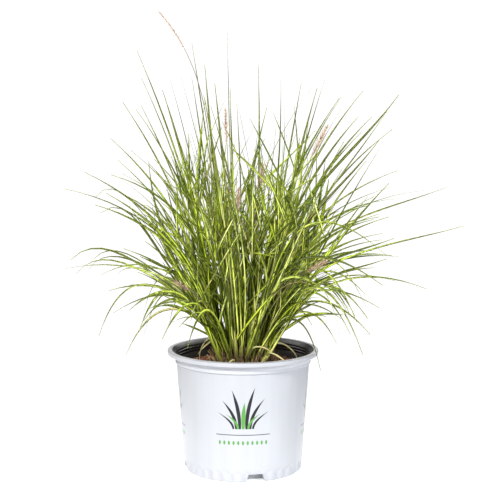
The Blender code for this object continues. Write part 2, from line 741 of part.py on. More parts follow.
def shoot_solid(shoot):
    """The sheath and leading leaf as one tube; each other leaf grows out of half a side face."""
    solid = Solid()
    sides, unders = shoot.sides, shoot.unders
    sheath_rings = len(SHEATH_LEVELS) + 1
    base = round_ring(shoot.line[0], sides[0], unders[0], shoot.widths[0])
    low = solid.ring([on_crown(place) for place in base])
    solid.faces.append(tuple(reversed(low)))
    for k in range(1, len(shoot.line) - 1):
        if k < sheath_rings:
            high = solid.ring(round_ring(shoot.line[k], sides[k], unders[k], shoot.widths[k]))
        else:
            high = solid.ring(blade_ring(shoot.line[k], sides[k], unders[k], shoot.widths[k]))
        level = k - 1
        if level in shoot.side_leaves:
            grow_from_side(solid, low, high, shoot.side_leaves[level])
        else:
            solid.tube(low, high)
        low = high
    solid.tip(low, shoot.line[-1])
    return solid


def grow_from_side(solid, low, high, leaf):
    """One segment of sheath, with half of the leaf's face opened into the leaf.

    The leaf leaves with its edges outwards and its keel to the sheath, and rolls level on the way.
    """
    count = len(low)
    for k in range(count):
        n = (k + 1) % count
        if k == leaf.face:
            solid.faces.append((low[k], high[n], high[k]))
        else:
            solid.faces.append((low[k], low[n], high[n], high[k]))
    near, far = low[leaf.face], low[(leaf.face + 1) % count]
    ring = (near, far, high[(leaf.face + 1) % count])
    levels, unders = frames_along(leaf.line, leaf.line[-1] - leaf.line[0])
    tangents = np.cross(unders, levels)
    side = solid.points[far] - solid.points[near]
    for place, tangent, level, share in list(zip(leaf.line, tangents, levels, SIDE_SHARES))[1:-1]:
        side = side - tangent * (tangent @ side)
        side /= np.linalg.norm(side)
        level = level if level @ side > 0 else -level
        side = side * (1 - share) + level * share
        side /= np.linalg.norm(side)
        keel = np.cross(tangent, side)
        new = solid.ring(blade_ring(place, side, keel, leaf_width(share))[::-1])
        solid.tube(ring, new)
        ring = new
    solid.tip(ring, leaf.line[-1])


def stem_line(root, points, plume_length, plume_radius):
    """Places up a flowering stem, close together in its plume, and how thick each stretch is."""
    path = np.vstack([root, points])
    length = np.linalg.norm(np.diff(path, axis=0), axis=1).sum()
    bare = 1 - plume_length / length
    stem = np.linspace(0, bare, STEM_RINGS)
    plume = [bare + (1 - bare) * share for share in PLUME_SHARES]
    line = smooth_line(path, np.array([*stem, *plume]))
    radii = [STEM_RADIUS] * (STEM_RINGS - 1) + [plume_radius] * len(PLUME_SHARES)
    return line, np.array(radii)


def stem_solid(line, plume_radius):
    solid = Solid()
    sides, unders = frames_along(line, line[-1] - line[0])
    base = round_ring(line[0], sides[0], unders[0], STEM_RADIUS * STEM_FOOT_SWELL, PLUME_SIDES)
    low = solid.ring([on_crown(place) for place in base])
    solid.faces.append(tuple(reversed(low)))
    radii = [STEM_RADIUS] * (STEM_RINGS - 1) + [plume_radius * swell for swell in PLUME_SWELL]
    for k, radius in enumerate(radii, 1):
        high = solid.ring(round_ring(line[k], sides[k], unders[k], radius, PLUME_SIDES))
        solid.tube(low, high)
        low = high
    solid.tip(low, line[-1])
    return solid


def make_grass():
    leaf = make_material("grass_leaf", (0.22, 0.34, 0.05), 0.5)
    flower = make_material("grass_flower", (0.55, 0.42, 0.30), 0.85)
    shoots, stem_lines = grow_clump()
    for number, shoot in enumerate(shoots, 1):
        solid = shoot_solid(shoot)
        make_object(f"shoot_{number:02d}", solid.points, solid.faces, leaf)
    for number, (line, stem) in enumerate(zip(stem_lines, FLOWER_STEMS), 1):
        solid = stem_solid(line, stem[-1])
        obj = make_object(f"flower_stem_{number}", solid.points, solid.faces, flower)
        shade_round(obj, 60)


clear_scene()
make_pot()
make_soil()
make_crown()
make_grass()
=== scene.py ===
# %% [markdown]
# # A clump of fountain grass in a nursery pot
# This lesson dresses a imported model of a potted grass: a white tub with a dark inside,
# bark-rich soil, and seven flowering stems above a fountain of some nine hundred leaves. The
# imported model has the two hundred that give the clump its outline. It is the frame: it fixes
# where each shoot stands and how far it reaches, and every piece below stays on it.

# %% The tools and the frame
import collections
import functools
import math
import random

import bpy
import numpy as np
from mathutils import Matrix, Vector
from mathutils.bvhtree import BVHTree


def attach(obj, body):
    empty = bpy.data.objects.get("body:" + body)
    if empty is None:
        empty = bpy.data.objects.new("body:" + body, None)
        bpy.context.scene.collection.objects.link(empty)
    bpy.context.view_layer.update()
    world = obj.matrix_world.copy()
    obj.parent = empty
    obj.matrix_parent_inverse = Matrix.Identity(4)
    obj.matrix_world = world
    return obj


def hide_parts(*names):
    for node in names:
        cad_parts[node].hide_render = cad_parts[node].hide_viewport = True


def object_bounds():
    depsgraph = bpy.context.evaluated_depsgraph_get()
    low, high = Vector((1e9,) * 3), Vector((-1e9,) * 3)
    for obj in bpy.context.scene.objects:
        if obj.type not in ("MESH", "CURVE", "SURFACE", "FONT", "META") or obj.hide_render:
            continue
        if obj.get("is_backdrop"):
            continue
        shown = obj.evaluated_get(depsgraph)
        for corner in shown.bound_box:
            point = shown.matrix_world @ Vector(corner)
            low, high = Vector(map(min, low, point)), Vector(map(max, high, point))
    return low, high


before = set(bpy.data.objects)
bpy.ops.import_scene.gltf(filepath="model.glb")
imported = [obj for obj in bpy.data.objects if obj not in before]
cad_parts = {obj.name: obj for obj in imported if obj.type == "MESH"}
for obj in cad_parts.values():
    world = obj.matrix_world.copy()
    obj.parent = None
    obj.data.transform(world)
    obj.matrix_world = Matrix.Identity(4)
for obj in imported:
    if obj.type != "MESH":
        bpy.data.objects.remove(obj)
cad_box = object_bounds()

print("nodes in the frame:", len(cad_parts))

# %% [markdown]
# ## Wiring nodes in plain arithmetic
# Materials and Geometry Nodes are both trees of nodes. Placing nodes by hand is long-winded,
# so one class stands for an output socket and takes ordinary arithmetic: `1 - mask` adds a
# Math node, and so do the other signs. Anything else comes from `Wiring.node`, which sets a
# node's own settings first and then its sockets. Numbers that never change are worked out in
# Python instead.

# %% A socket that takes arithmetic


class Wire:
    """An output socket. Arithmetic on it adds Math nodes to its tree."""

    def __init__(self, wiring, socket):
        self.wiring = wiring
        self.socket = socket

    def math(self, operation, *others, clamp=False):
        settings = {"operation": operation, "use_clamp": clamp}
        return self.wiring.node("ShaderNodeMath", settings, dict(enumerate((self, *others))))

    def __rsub__(self, other):
        return self.wiring.node("ShaderNodeMath", {"operation": "SUBTRACT"}, {0: other, 1: self})

    def other(self, name):
        """Another output of the same node."""
        return Wire(self.wiring, self.socket.node.outputs[name])

    def clipped(self):
        return self.math("ADD", 0.0, clamp=True)

    def step(self, start, end):
        """0 below start, 1 above end, and an even climb between."""
        return ((self - start) * (1 / (end - start))).clipped()


OPERATORS = {"add": "ADD", "radd": "ADD", "sub": "SUBTRACT", "mul": "MULTIPLY", "truediv": "DIVIDE"}
for name, operation in OPERATORS.items():
    setattr(Wire, f"__{name}__", functools.partialmethod(Wire.math, operation))


class Wiring:
    """A node tree under construction."""

    def __init__(self, tree):
        self.tree = tree

    def node(self, kind, settings=None, sockets=None, out=0):
        made = self.tree.nodes.new(kind)
        made.location = (180 * (len(self.tree.nodes) % 40), -260 * (len(self.tree.nodes) // 40))
        for name, value in (settings or {}).items():
            if name == "stops":
                self.set_stops(made.color_ramp, value)
            else:
                setattr(made, name, value)
        for name, value in (sockets or {}).items():
            self.feed(made.inputs[name], value)
        return Wire(self, made.outputs[out])

    def feed(self, socket, value):
        if isinstance(value, Wire):
            self.tree.links.new(value.socket, socket)
        else:
            socket.default_value = value

    @staticmethod
    def set_stops(ramp, stops):
        while len(ramp.elements) < len(stops):
            ramp.elements.new(1.0)
        for element, (place, colour) in zip(ramp.elements, stops):
            element.position = place
            element.color = (*colour, 1)

    def parts(self, vector):
        split = self.node("ShaderNodeSeparateXYZ", None, {0: vector})
        return [Wire(self, end) for end in split.socket.node.outputs]


# %% [markdown]
# ## Materials
# Each finish below is a Principled shader whose colour, roughness and bump come from a few
# noises. `Finish` opens such a material, mixes colours by a mask, and sets plain numbers on
# the shader's own sockets.

# %% A material to be wired


class Finish(Wiring):
    """A Principled material and the usual sources that it reads."""

    def __init__(self, name, **numbers):
        self.material = bpy.data.materials.new(name)
        self.material.use_nodes = True
        super().__init__(self.material.node_tree)
        self.shader = self.tree.nodes["Principled BSDF"]
        for socket, value in numbers.items():
            self.shader.inputs[socket.replace("_", " ")].default_value = value

    def place(self):
        return self.node("ShaderNodeTexCoord", out=3)

    def attribute(self, name):
        return self.node("ShaderNodeAttribute", {"attribute_name": name}, out=2)

    def noise(self, where, scale, detail=3.0, stretch=(1, 1, 1)):
        """Noise between 0 and 1 with about this many blotches to the metre."""
        placed = self.node("ShaderNodeMapping", None, {"Vector": where, "Scale": stretch})
        sockets = {"Vector": placed, "Scale": scale, "Detail": detail}
        return self.node("ShaderNodeTexNoise", None, sockets)

    def blend(self, mask, first, second):
        colours = {name: (*value, 1) if isinstance(value, tuple) else value
                   for name, value in ((6, first), (7, second))}
        return self.node("ShaderNodeMix", {"data_type": "RGBA"}, {0: mask, **colours}, out=2)

    def ramp(self, value, *stops):
        return self.node("ShaderNodeValToRGB", {"stops": stops}, {0: value})

    def bump(self, height, depth, strength=1.0):
        sockets = {"Height": height, "Distance": depth, "Strength": strength}
        return self.node("ShaderNodeBump", None, sockets)

    def finish(self, **links):
        for socket, value in links.items():
            self.feed(self.shader.inputs[socket.replace("_", " ")], value)
        print("finish:", self.material.name, len(self.tree.nodes), "nodes")
        return self.material


def fibrous(name, sheen, coloured_by, stops, fibre, streaks, streak_colour, rough, relief):
    """A dry plant material, coloured along an attribute and streaked along its fibres."""
    paint = Finish(name, Specular_IOR_Level=sheen)
    fibre = paint.noise(paint.place(), *fibre)
    start, end, share = streaks
    colour = paint.ramp(paint.attribute(coloured_by), *stops)
    colour = paint.blend(fibre.step(start, end) * share, colour, streak_colour)
    smoothest, spread = rough
    return paint.finish(Base_Color=colour, Roughness=smoothest + fibre * spread,
                        Normal=paint.bump(fibre, *relief))


# %% [markdown]
# ## Trees of Geometry Nodes
# What repeats on this plant, such as leaves, bark chips and bristles, is made by Geometry
# Nodes. A small helper opens a tree with named inputs. A modifier's inputs are set by each
# socket's identifier, the result is made a plain mesh, and the modifier goes.

# %% A Geometry Nodes tree with named inputs
SOCKET_KINDS = {
    "number": "NodeSocketFloat",
    "count": "NodeSocketInt",
    "material": "NodeSocketMaterial",
}


class Recipe(Wiring):
    """A Geometry Nodes tree, its named inputs, and the mesh that it makes of an object."""

    def __init__(self, name, **inputs):
        super().__init__(bpy.data.node_groups.new(name, "GeometryNodeTree"))
        sockets = self.tree.interface
        sockets.new_socket("Geometry", in_out="OUTPUT", socket_type="NodeSocketGeometry")
        sockets.new_socket("Geometry", in_out="INPUT", socket_type="NodeSocketGeometry")
        self.identifiers = {}
        for label, kind in inputs.items():
            socket = sockets.new_socket(label, in_out="INPUT", socket_type=SOCKET_KINDS[kind])
            self.identifiers[label] = socket.identifier
        self.entry = self.tree.nodes.new("NodeGroupInput")

    def input(self, label):
        return Wire(self, self.entry.outputs[label])

    def attribute(self, name, kind="FLOAT"):
        return self.node("GeometryNodeInputNamedAttribute", {"data_type": kind}, {"Name": name})

    def random(self, low, high, seed, kind="FLOAT"):
        """A random value for each item between low and high."""
        first, second, out = {"FLOAT": (2, 3, 1), "FLOAT_VECTOR": (0, 1, 0)}[kind]
        sockets = {first: low, second: high, 8: seed}
        return self.node("FunctionNodeRandomValue", {"data_type": kind}, sockets, out)

    def spots(self, chosen):
        """Points scattered over the chosen faces, as many and as set by Density and Seed."""
        return self.node("GeometryNodeDistributePointsOnFaces", None, {
            "Mesh": self.input("Geometry"), "Selection": chosen, "Density": self.input("Density"),
            "Seed": self.input("Seed")})

    def stand(self, points, shape, turn, size, seed, smooth=True):
        """Stands a shape on each point, gives each one its own tone, and ends the tree."""
        stood = self.node("GeometryNodeInstanceOnPoints", None, {
            "Points": points, "Instance": shape, "Rotation": turn, "Scale": size})
        self.close(self.node("GeometryNodeStoreNamedAttribute", {"domain": "INSTANCE"}, {
            "Geometry": stood, "Name": "tone", "Value": self.random(0.0, 1.0, seed)}), smooth)

    def close(self, geometry, smooth=True):
        """Realises the instances, sets the material and ends the tree."""
        real = self.node("GeometryNodeRealizeInstances", None, {"Geometry": geometry})
        shaded = self.node("GeometryNodeSetShadeSmooth", None, {
            "Geometry": real, "Shade Smooth": smooth})
        painted = self.node("GeometryNodeSetMaterial", None, {
            "Geometry": shaded, "Material": self.input("Material")})
        end = self.tree.nodes.new("NodeGroupOutput")
        self.tree.links.new(painted.socket, end.inputs["Geometry"])

    def grow(self, obj, **values):
        """Runs the tree on an object and leaves its result as the object's plain mesh."""
        modifier = obj.modifiers.new(self.tree.name, "NODES")
        modifier.node_group = self.tree
        for label, value in values.items():
            modifier[self.identifiers[label]] = value
        return make_plain(obj)


def make_plain(obj):
    """The object with its modifiers worked into its mesh."""
    graph = bpy.context.evaluated_depsgraph_get()
    mesh = bpy.data.meshes.new_from_object(obj.evaluated_get(graph))
    obj.modifiers.clear()
    obj.data = mesh
    mesh.name = obj.name
    return obj


def new_piece(name, points, faces=(), edges=(), material=None):
    mesh = bpy.data.meshes.new(name)
    mesh.from_pydata([tuple(map(float, point)) for point in points], list(edges), list(faces))
    obj = bpy.data.objects.new(name, mesh)
    bpy.context.scene.collection.objects.link(obj)
    if material:
        mesh.materials.append(material)
    return obj


def hand_in(piece, slot, *nodes):
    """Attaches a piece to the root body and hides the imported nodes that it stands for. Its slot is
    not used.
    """
    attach(piece, "root")
    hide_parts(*nodes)
    piece.data.calc_loop_triangles()
    print("piece:", piece.name, len(piece.data.loop_triangles), "triangles")


# %% [markdown]
# ## The camera
# The camera comes first, so that each piece can be judged as it is made. A long lens from
# about a metre and three quarters away, a little above the clump and tipped down, shows a
# narrow ellipse of the pot's rim. The lens and the shift come from the pot's known size.

# %% Camera
CAMERA_TIP = 5.64
SENSOR = 36
PICTURE_PIXELS = 500
FOCAL_PIXELS = 1112
SHIFT_PIXELS = 7
camera = bpy.data.objects.new("camera", bpy.data.cameras.new("camera"))
bpy.context.scene.collection.objects.link(camera)
camera.location = (0, -1.752, 0.522)
camera.rotation_euler = (math.radians(90 - CAMERA_TIP), 0, 0)
camera.data.sensor_width = SENSOR
camera.data.lens = FOCAL_PIXELS / PICTURE_PIXELS * SENSOR
camera.data.shift_x = SHIFT_PIXELS / PICTURE_PIXELS
bpy.context.scene.camera = camera
print("lens:", round(camera.data.lens, 1), "mm")

# %% [markdown]
# ## Turned pieces
# The tub, the soil and the crown are all round about one upright line. A solid of revolution
# is a profile of (radius, height) points swept round that line. Blender's Spin or a Screw
# modifier would do it too, but writing the rings out keeps the poles as single points and the
# faces pointing outwards, which the Booleans below depend on.

# %% The pot's measures
POT_HEIGHT = 0.191
LIP_RADIUS = 0.120
LIP_DROP = 0.0065
LIP_ROUND = 0.0016
COLLAR_RADIUS = 0.1078
COLLAR_HEIGHT = 0.014
SHOULDER_RADIUS = 0.1056
BASE_RADIUS = 0.0945
BASE_EDGE = 0.003
WALL = 0.0018
FLOOR = 0.0022
FLUTE_COUNT = 36
FLUTE_TOP = 0.018
FLUTE_DEPTH = 0.0012
POCKET_COUNT = 4
POCKET_TURN = math.radians(-78)
POCKET_WIDTH_BOTTOM = 0.035
POCKET_WIDTH_TOP = 0.024
POCKET_HEIGHT = 0.013
POCKET_DEPTH = 0.020
POCKET_INNER_SHARE = 0.8
POCKET_CUT_PAST = 0.010
DRAIN_RADIUS = 0.004
DRAIN_INSET = 0.010
DRAIN_CUT_PAST = 0.004
STEP_HEIGHT = POT_HEIGHT - LIP_DROP - COLLAR_HEIGHT


def body_radius(height):
    """Outside of the plain wall, between the bottom edge and the collar."""
    share = (height - BASE_EDGE) / (STEP_HEIGHT - BASE_EDGE)
    return BASE_RADIUS + (SHOULDER_RADIUS - BASE_RADIUS) * share


print("pot:", round(2 * LIP_RADIUS * 1000), "mm wide,", round(POT_HEIGHT * 1000), "mm tall")

# %% A solid of revolution


def turned(name, profile, segments, material=None):
    """A closed solid from (radius, height) points that run up from the axis and back to it."""
    turns = 2 * np.pi * np.arange(segments) / segments
    points = [(0, 0, profile[0][1])]
    for radius, height in profile[1:-1]:
        points += [(radius * c, radius * s, height) for c, s in zip(np.cos(turns), np.sin(turns))]
    points.append((0, 0, profile[-1][1]))
    rings = [1 + ring * segments + np.arange(segments) for ring in range(len(profile) - 2)]
    faces = [(0, int(b), int(a)) for a, b in zip(rings[0], np.roll(rings[0], -1))]
    for low, high in zip(rings, rings[1:]):
        around = zip(low, np.roll(low, -1), np.roll(high, -1), high)
        faces += [tuple(map(int, corners)) for corners in around]
    faces += [(int(a), int(b), len(points) - 1) for a, b in zip(rings[-1], np.roll(rings[-1], -1))]
    return new_piece(name, points, faces, material=material)


def arc(centre, radius, start, end, count=6):
    """Points round a rounded corner of a profile, from one angle in degrees to another."""
    angles = np.radians(np.linspace(start, end, count))
    return [(centre[0] + radius * math.cos(a), centre[1] + radius * math.sin(a)) for a in angles]


def shade_round(obj, degrees=35):
    """Smooth shading that keeps the corners sharper than this angle."""
    obj.data.polygons.foreach_set("use_smooth", [True] * len(obj.data.polygons))
    obj.data.set_sharp_from_angle(angle=math.radians(degrees))


# %% [markdown]
# ## The tub
# The real pot is moulded: a tapered wall, a collar above a small step, and a lip that rolls
# outwards and down. Its outside and its inside are two plastics, white and near black. So the
# tub is a white solid with a black one taken out of it. A Boolean leaves each cut face in the
# material of the piece that cut it, which is how the inside turns black by itself.

# %% The outside and the inside of the tub
POT_SEGMENTS = 360
under_lip = POT_HEIGHT - LIP_DROP

outside_profile = [
    (0, 0),
    (BASE_RADIUS - BASE_EDGE, 0),
    *arc((BASE_RADIUS - BASE_EDGE, BASE_EDGE), BASE_EDGE, -70, -4, 5),
    *[(body_radius(h), h) for h in np.linspace(0.0045, FLUTE_TOP + 0.002, 12)],
    *[(body_radius(h), h) for h in np.linspace(0.04, STEP_HEIGHT - 0.0016, 8)],
    *arc((SHOULDER_RADIUS + 0.0004, STEP_HEIGHT - 0.0002), 0.0005, 190, 110, 3),
    *arc((COLLAR_RADIUS - 0.0008, STEP_HEIGHT + 0.0012), 0.0008, -60, 0, 4),
    (COLLAR_RADIUS + 0.0001, STEP_HEIGHT + 0.0048),
    (COLLAR_RADIUS - 0.0003, STEP_HEIGHT + 0.0056),
    (COLLAR_RADIUS + 0.0002, STEP_HEIGHT + 0.0064),
    (COLLAR_RADIUS + 0.0004, under_lip),
    (COLLAR_RADIUS + 0.0016, under_lip + 0.0024),
    (LIP_RADIUS - 0.0040, under_lip + 0.0030),
    (LIP_RADIUS - 0.0022, under_lip + 0.0024),
    (LIP_RADIUS - 0.0014, under_lip + 0.0002),
    (LIP_RADIUS - 0.0006, under_lip),
    (LIP_RADIUS - 0.0001, under_lip + 0.0010),
    *arc((LIP_RADIUS - LIP_ROUND, POT_HEIGHT - LIP_ROUND), LIP_ROUND, 0, 90, 6),
    (0, POT_HEIGHT),
]


def ledge(height):
    """One of the faint steps inside the collar, where the real wall thins."""
    inner = COLLAR_RADIUS - WALL
    steps = ((0, -0.0012), (-0.0008, -0.0004), (-0.0008, 0.0004), (0.0002, 0.0012))
    return [(inner + out, height + up) for out, up in steps]


def inside_profile(inset=0.0):
    """The inside of the wall and floor, drawn in by inset, up through the mouth."""
    back = WALL + inset
    return [
        (0, FLOOR + inset),
        (BASE_RADIUS - back - BASE_EDGE, FLOOR + inset),
        (body_radius(FLOOR + BASE_EDGE) - back - FLUTE_DEPTH, FLOOR + BASE_EDGE),
        (body_radius(0.09) - back, 0.09),
        (SHOULDER_RADIUS - back, STEP_HEIGHT - 0.001),
        (COLLAR_RADIUS - back, STEP_HEIGHT + 0.0024),
        *(ledge(STEP_HEIGHT + 0.0058) if not inset else []),
        *(ledge(STEP_HEIGHT + 0.0104) if not inset else []),
        (COLLAR_RADIUS - back + 0.0003, under_lip + 0.0006),
        (COLLAR_RADIUS + 0.0006, under_lip + 0.0034),
        (LIP_RADIUS - 0.0094, POT_HEIGHT - 0.0016),
        (LIP_RADIUS - 0.0080, POT_HEIGHT - 0.0005),
        (LIP_RADIUS - 0.0068, POT_HEIGHT + 0.0001),
        (LIP_RADIUS - 0.0064, POT_HEIGHT + 0.004),
        (0, POT_HEIGHT + 0.004),
    ]


print("outside profile:", len(outside_profile), "points; inside:", len(inside_profile()))

# %% [markdown]
# ## The white plastic and its print
# The outside is a cool white polyethylene: a little cloudy, with upright flow marks from the
# mould, a soft sheen, and soil dust near the foot. A motif is printed on it four times round.
# A print has no thickness, so it belongs in the colour and not in the mesh. The motif is a
# plain tuft of grass over a rule and a row of seeds. Each stroke of the tuft is a bent tapering
# shape: its mask compares a point's distance from a bending centre line with the stroke's
# width at that height. The collar is painted paler, a painted light that lifts the shadow
# which the lip and the leaves cast on it. The top of the lip is painted grey: the dark layer
# that wraps over it, with its sheen painted in. The flute grooves carry painted shade.

# %% White plastic
PRINT_RADIUS = 0.101
RULE_HEIGHT = 0.076
RULE_HALF_LENGTH = 0.043
TUFT_FOOT = 0.0855
PRINTS_ROUND = 4
INK_EDGE = 0.00035

# Each stroke of the tuft: where it stands, how far its tip leans, its height, its half width
TUFT_STROKES = (
    (-0.0150, -0.026, 0.026, 0.0034),
    (-0.0105, -0.022, 0.045, 0.0042),
    (-0.0050, -0.012, 0.062, 0.0046),
    (0.0055, 0.013, 0.066, 0.0046),
    (0.0112, 0.023, 0.048, 0.0042),
    (0.0155, 0.027, 0.028, 0.0034),
)
GREEN_STROKES = (
    (0.0003, 0.002, 0.042, 0.0052),
    (-0.0078, -0.020, 0.024, 0.0036),
    (0.0082, 0.020, 0.025, 0.0036),
)
SEED_ROW_HEIGHT = 0.0635
SEED_ROW_PITCH = 0.0074
SEED_ROW_HALF_LENGTH = 0.041
SEED_RADIUS = 0.0019
SEED_SLIMNESS = 0.3
RULE_HALF_WIDTH = 0.0008


def stroke(across, up, foot, lean, height, half_width):
    """A mask that is 1 on one bent, tapering stroke."""
    climb = (up - TUFT_FOOT) * (1 / height)
    middle = climb * climb * lean + foot
    width = (1 - climb * climb) * half_width * (climb * 0.8 + 0.45).math("MINIMUM", 1.0)
    ink = (width - (across - middle).math("ABSOLUTE")) * (1 / INK_EDGE)
    return ink.clipped() * climb.step(-0.01, 0.01)


def strokes_mask(across, up, strokes):
    masks = [stroke(across, up, *numbers) for numbers in strokes]
    whole = masks[0]
    for mask in masks[1:]:
        whole = whole.math("MAXIMUM", mask)
    return whole


def white_plastic():
    white = Finish("white_plastic", Specular_IOR_Level=0.22)
    where = white.place()
    x, y, z = white.parts(where)
    turn = x.math("ARCTAN2", y * -1) * (PRINTS_ROUND / (2 * math.pi)) + 0.5
    across = (turn.math("FRACT") - 0.5) * (2 * math.pi / PRINTS_ROUND * PRINT_RADIUS)
    cloud = white.noise(where, 14, 4)
    flow = white.noise(where, 60, 3, (1, 1, 0.06))
    fine = white.noise(where, 900, 2)
    dust = (0.02 - z).step(0.0, 0.02) * white.noise(where, 70, 6).step(0.5, 0.85)
    colour = white.blend(cloud, (0.350, 0.361, 0.390), (0.375, 0.386, 0.414))
    colour = white.blend(flow.step(0.35, 0.9) * 0.3, colour, (0.475, 0.493, 0.548))
    colour = white.blend(dust * 0.35, colour, (0.32, 0.27, 0.23))
    dark = strokes_mask(across, z, TUFT_STROKES)
    green = strokes_mask(across, z, GREEN_STROKES)
    rule = (RULE_HALF_LENGTH - across.math("ABSOLUTE")).step(0, INK_EDGE)
    rule = rule * (RULE_HALF_WIDTH - (z - RULE_HEIGHT).math("ABSOLUTE")).step(0, INK_EDGE)
    beat = across.math("PINGPONG", SEED_ROW_PITCH / 2)
    seed = beat * beat + (z - SEED_ROW_HEIGHT) * (z - SEED_ROW_HEIGHT) * SEED_SLIMNESS
    row = (SEED_ROW_HALF_LENGTH - across.math("ABSOLUTE")).step(0, INK_EDGE)
    seeds = (SEED_RADIUS ** 2 - seed).step(0, 9e-7) * row
    worn = white.noise(where, 1500, 2).step(0.18, 0.3) * 0.98
    colour = white.blend(dark * worn, colour, (0.006, 0.008, 0.010))
    colour = white.blend(rule * 0.95, colour, (0.035, 0.038, 0.042))
    colour = white.blend(green.math("MAXIMUM", seeds) * worn, colour, (0.075, 0.235, 0.045))
    radius = (x * x + y * y).math("SQRT")
    # Painted light: the collar is painted paler to lift the shadow that the lip and the leaves cast on
    # it.
    painted_collar_light = z.step(0.168, 0.181) * (1 - z.step(0.183, 0.186) * 0.9)
    colour = white.blend(painted_collar_light * 0.75, colour, (0.56, 0.575, 0.62))
    # The top of the lip is painted grey: the dark layer that wraps over it, with its sheen painted in
    # as a lighter grey. Its outer edge is darker.
    lip = z.step(POT_HEIGHT - 0.0014, POT_HEIGHT - 0.0007)
    edge = lip * radius.step(LIP_RADIUS - 0.0018, LIP_RADIUS - 0.0008)
    colour = white.blend(lip * (0.8 + cloud * 0.15), colour, (0.340, 0.340, 0.360))
    colour = white.blend(edge * 0.5, colour, (0.110, 0.110, 0.120))
    # Painted shade: the flute grooves at the foot are darkened in colour as well as pressed into the
    # wall.
    groove = (x.math("ARCTAN2", y) * FLUTE_COUNT).math("COSINE") * 0.5 + 0.5
    band = (FLUTE_TOP - 0.001 - z).step(0.0, 0.004) * z.step(0.001, 0.004)
    colour = white.blend(groove * groove * band * 0.3, colour, (0.245, 0.255, 0.31))
    rough = 0.30 + cloud * 0.10 + fine * 0.08 - dark * 0.05 + dust * 0.3
    dents = cloud * 0.6 + flow * 0.3 + fine * 0.12
    return white.finish(Base_Color=colour, Roughness=rough, Normal=white.bump(dents, 0.0006, 0.35))


white = white_plastic()

# %% [markdown]
# ## The black plastic
# The inside is a charcoal regrind. It shows mottled scuffs and rings left by the mould. Its
# lip carries a painted sheen, so the lip looks grey and the wall below it black.

# %% Black plastic


def black_plastic():
    black = Finish("black_plastic", Specular_IOR_Level=0.35)
    where = black.place()
    x, y, z = black.parts(where)
    radius = (x * x + y * y).math("SQRT")
    mottle = black.noise(where, 40, 5)
    scuff = black.noise(where, 260, 4, (1, 1, 6))
    painted_lip_sheen = z.step(POT_HEIGHT - 0.0035, POT_HEIGHT - 0.0004) * radius.step(0.1140, 0.1170)
    colour = black.ramp(mottle, (0.3, (0.007, 0.006, 0.005)), (0.75, (0.022, 0.018, 0.015)))
    colour = black.blend(scuff.step(0.5, 0.85) * 0.5, colour, (0.060, 0.053, 0.047))
    # Painted sheen: the lip of the black plastic is painted grey where its gloss would catch the
    # light.
    colour = black.blend(painted_lip_sheen * (0.55 + mottle * 0.35), colour, (0.210, 0.212, 0.222))
    rough = 0.40 + mottle * 0.25 + painted_lip_sheen * 0.1
    grain = black.bump(scuff + mottle, 0.0005, 0.3)
    return black.finish(Base_Color=colour, Roughness=rough, Normal=grain)


black = black_plastic()

# %% [markdown]
# ## The flutes
# Shallow scallops run round the foot of the tub. They follow a rule, the cosine of the angle
# times the number of flutes, so Geometry Nodes press them into the wall: each point on it
# moves in by that wave, which fades out at the top of the band and at the foot.

# %% Pressing the flutes


def flute_recipe():
    flutes = Recipe("press_flutes", Count="number", Depth="number", Top="number", Inner="number",
                    Material="material")
    x, y, z = flutes.parts(flutes.node("GeometryNodeInputPosition"))
    radius = (x * x + y * y).math("SQRT")
    wave = (y.math("ARCTAN2", x) * flutes.input("Count")).math("COSINE") * -0.5 + 0.5
    fade = ((flutes.input("Top") - z) * 260.0).clipped() * (z * 700.0).clipped()
    on_wall = radius.math("GREATER_THAN", flutes.input("Inner"))
    inwards = wave * fade * on_wall * flutes.input("Depth") / radius
    offset = flutes.node("ShaderNodeCombineXYZ", None, {0: x * inwards * -1, 1: y * inwards * -1})
    moved = flutes.node("GeometryNodeSetPosition", None, {
        "Geometry": flutes.input("Geometry"), "Offset": offset})
    flutes.close(moved)
    return flutes


tub = turned("tub", outside_profile, POT_SEGMENTS, white)
flute_recipe().grow(
    tub, Count=float(FLUTE_COUNT), Depth=FLUTE_DEPTH, Top=FLUTE_TOP + 0.001,
    Inner=BASE_RADIUS - BASE_EDGE * 0.9, Material=white)
print("tub:", len(tub.data.polygons), "faces with its flutes")

# %% [markdown]
# ## Drain pockets
# Four recesses are let into the bottom edge, and each has a hole in its roof that the water
# leaves by. They are cut as on the real mould: a tapered block out of the tub, and the same
# block, one wall thicker, left standing in the hollow.

# %% Cutting the hollow, the pockets and the drain holes


def pocket_blocks(name, material, grow=0.0):
    outer, inner = BASE_RADIUS + POCKET_DEPTH, BASE_RADIUS - POCKET_DEPTH - grow
    low, high = -POCKET_CUT_PAST, POCKET_HEIGHT + grow
    slope = (POCKET_WIDTH_BOTTOM - POCKET_WIDTH_TOP) / 2 / POCKET_HEIGHT
    narrow = POCKET_INNER_SHARE
    points, faces = [], []
    for pocket in range(POCKET_COUNT):
        angle = POCKET_TURN + 2 * math.pi * pocket / POCKET_COUNT
        out = Vector((math.cos(angle), math.sin(angle), 0))
        side = Vector((-out.y, out.x, 0))
        start = len(points)
        for height in (low, high):
            half = POCKET_WIDTH_BOTTOM / 2 + grow - slope * height
            for radius, across in ((inner, -narrow), (outer, -1), (outer, 1), (inner, narrow)):
                points.append(out * radius + side * (half * across) + Vector((0, 0, height)))
        corners = [start + k for k in range(8)]
        faces.append((corners[3], corners[2], corners[1], corners[0]))
        faces.append((corners[4], corners[5], corners[6], corners[7]))
        for k in range(4):
            n = (k + 1) % 4
            faces.append((corners[k], corners[n], corners[4 + n]))
            faces.append((corners[k], corners[4 + n], corners[4 + k]))
    return new_piece(name, points, faces, material=material)


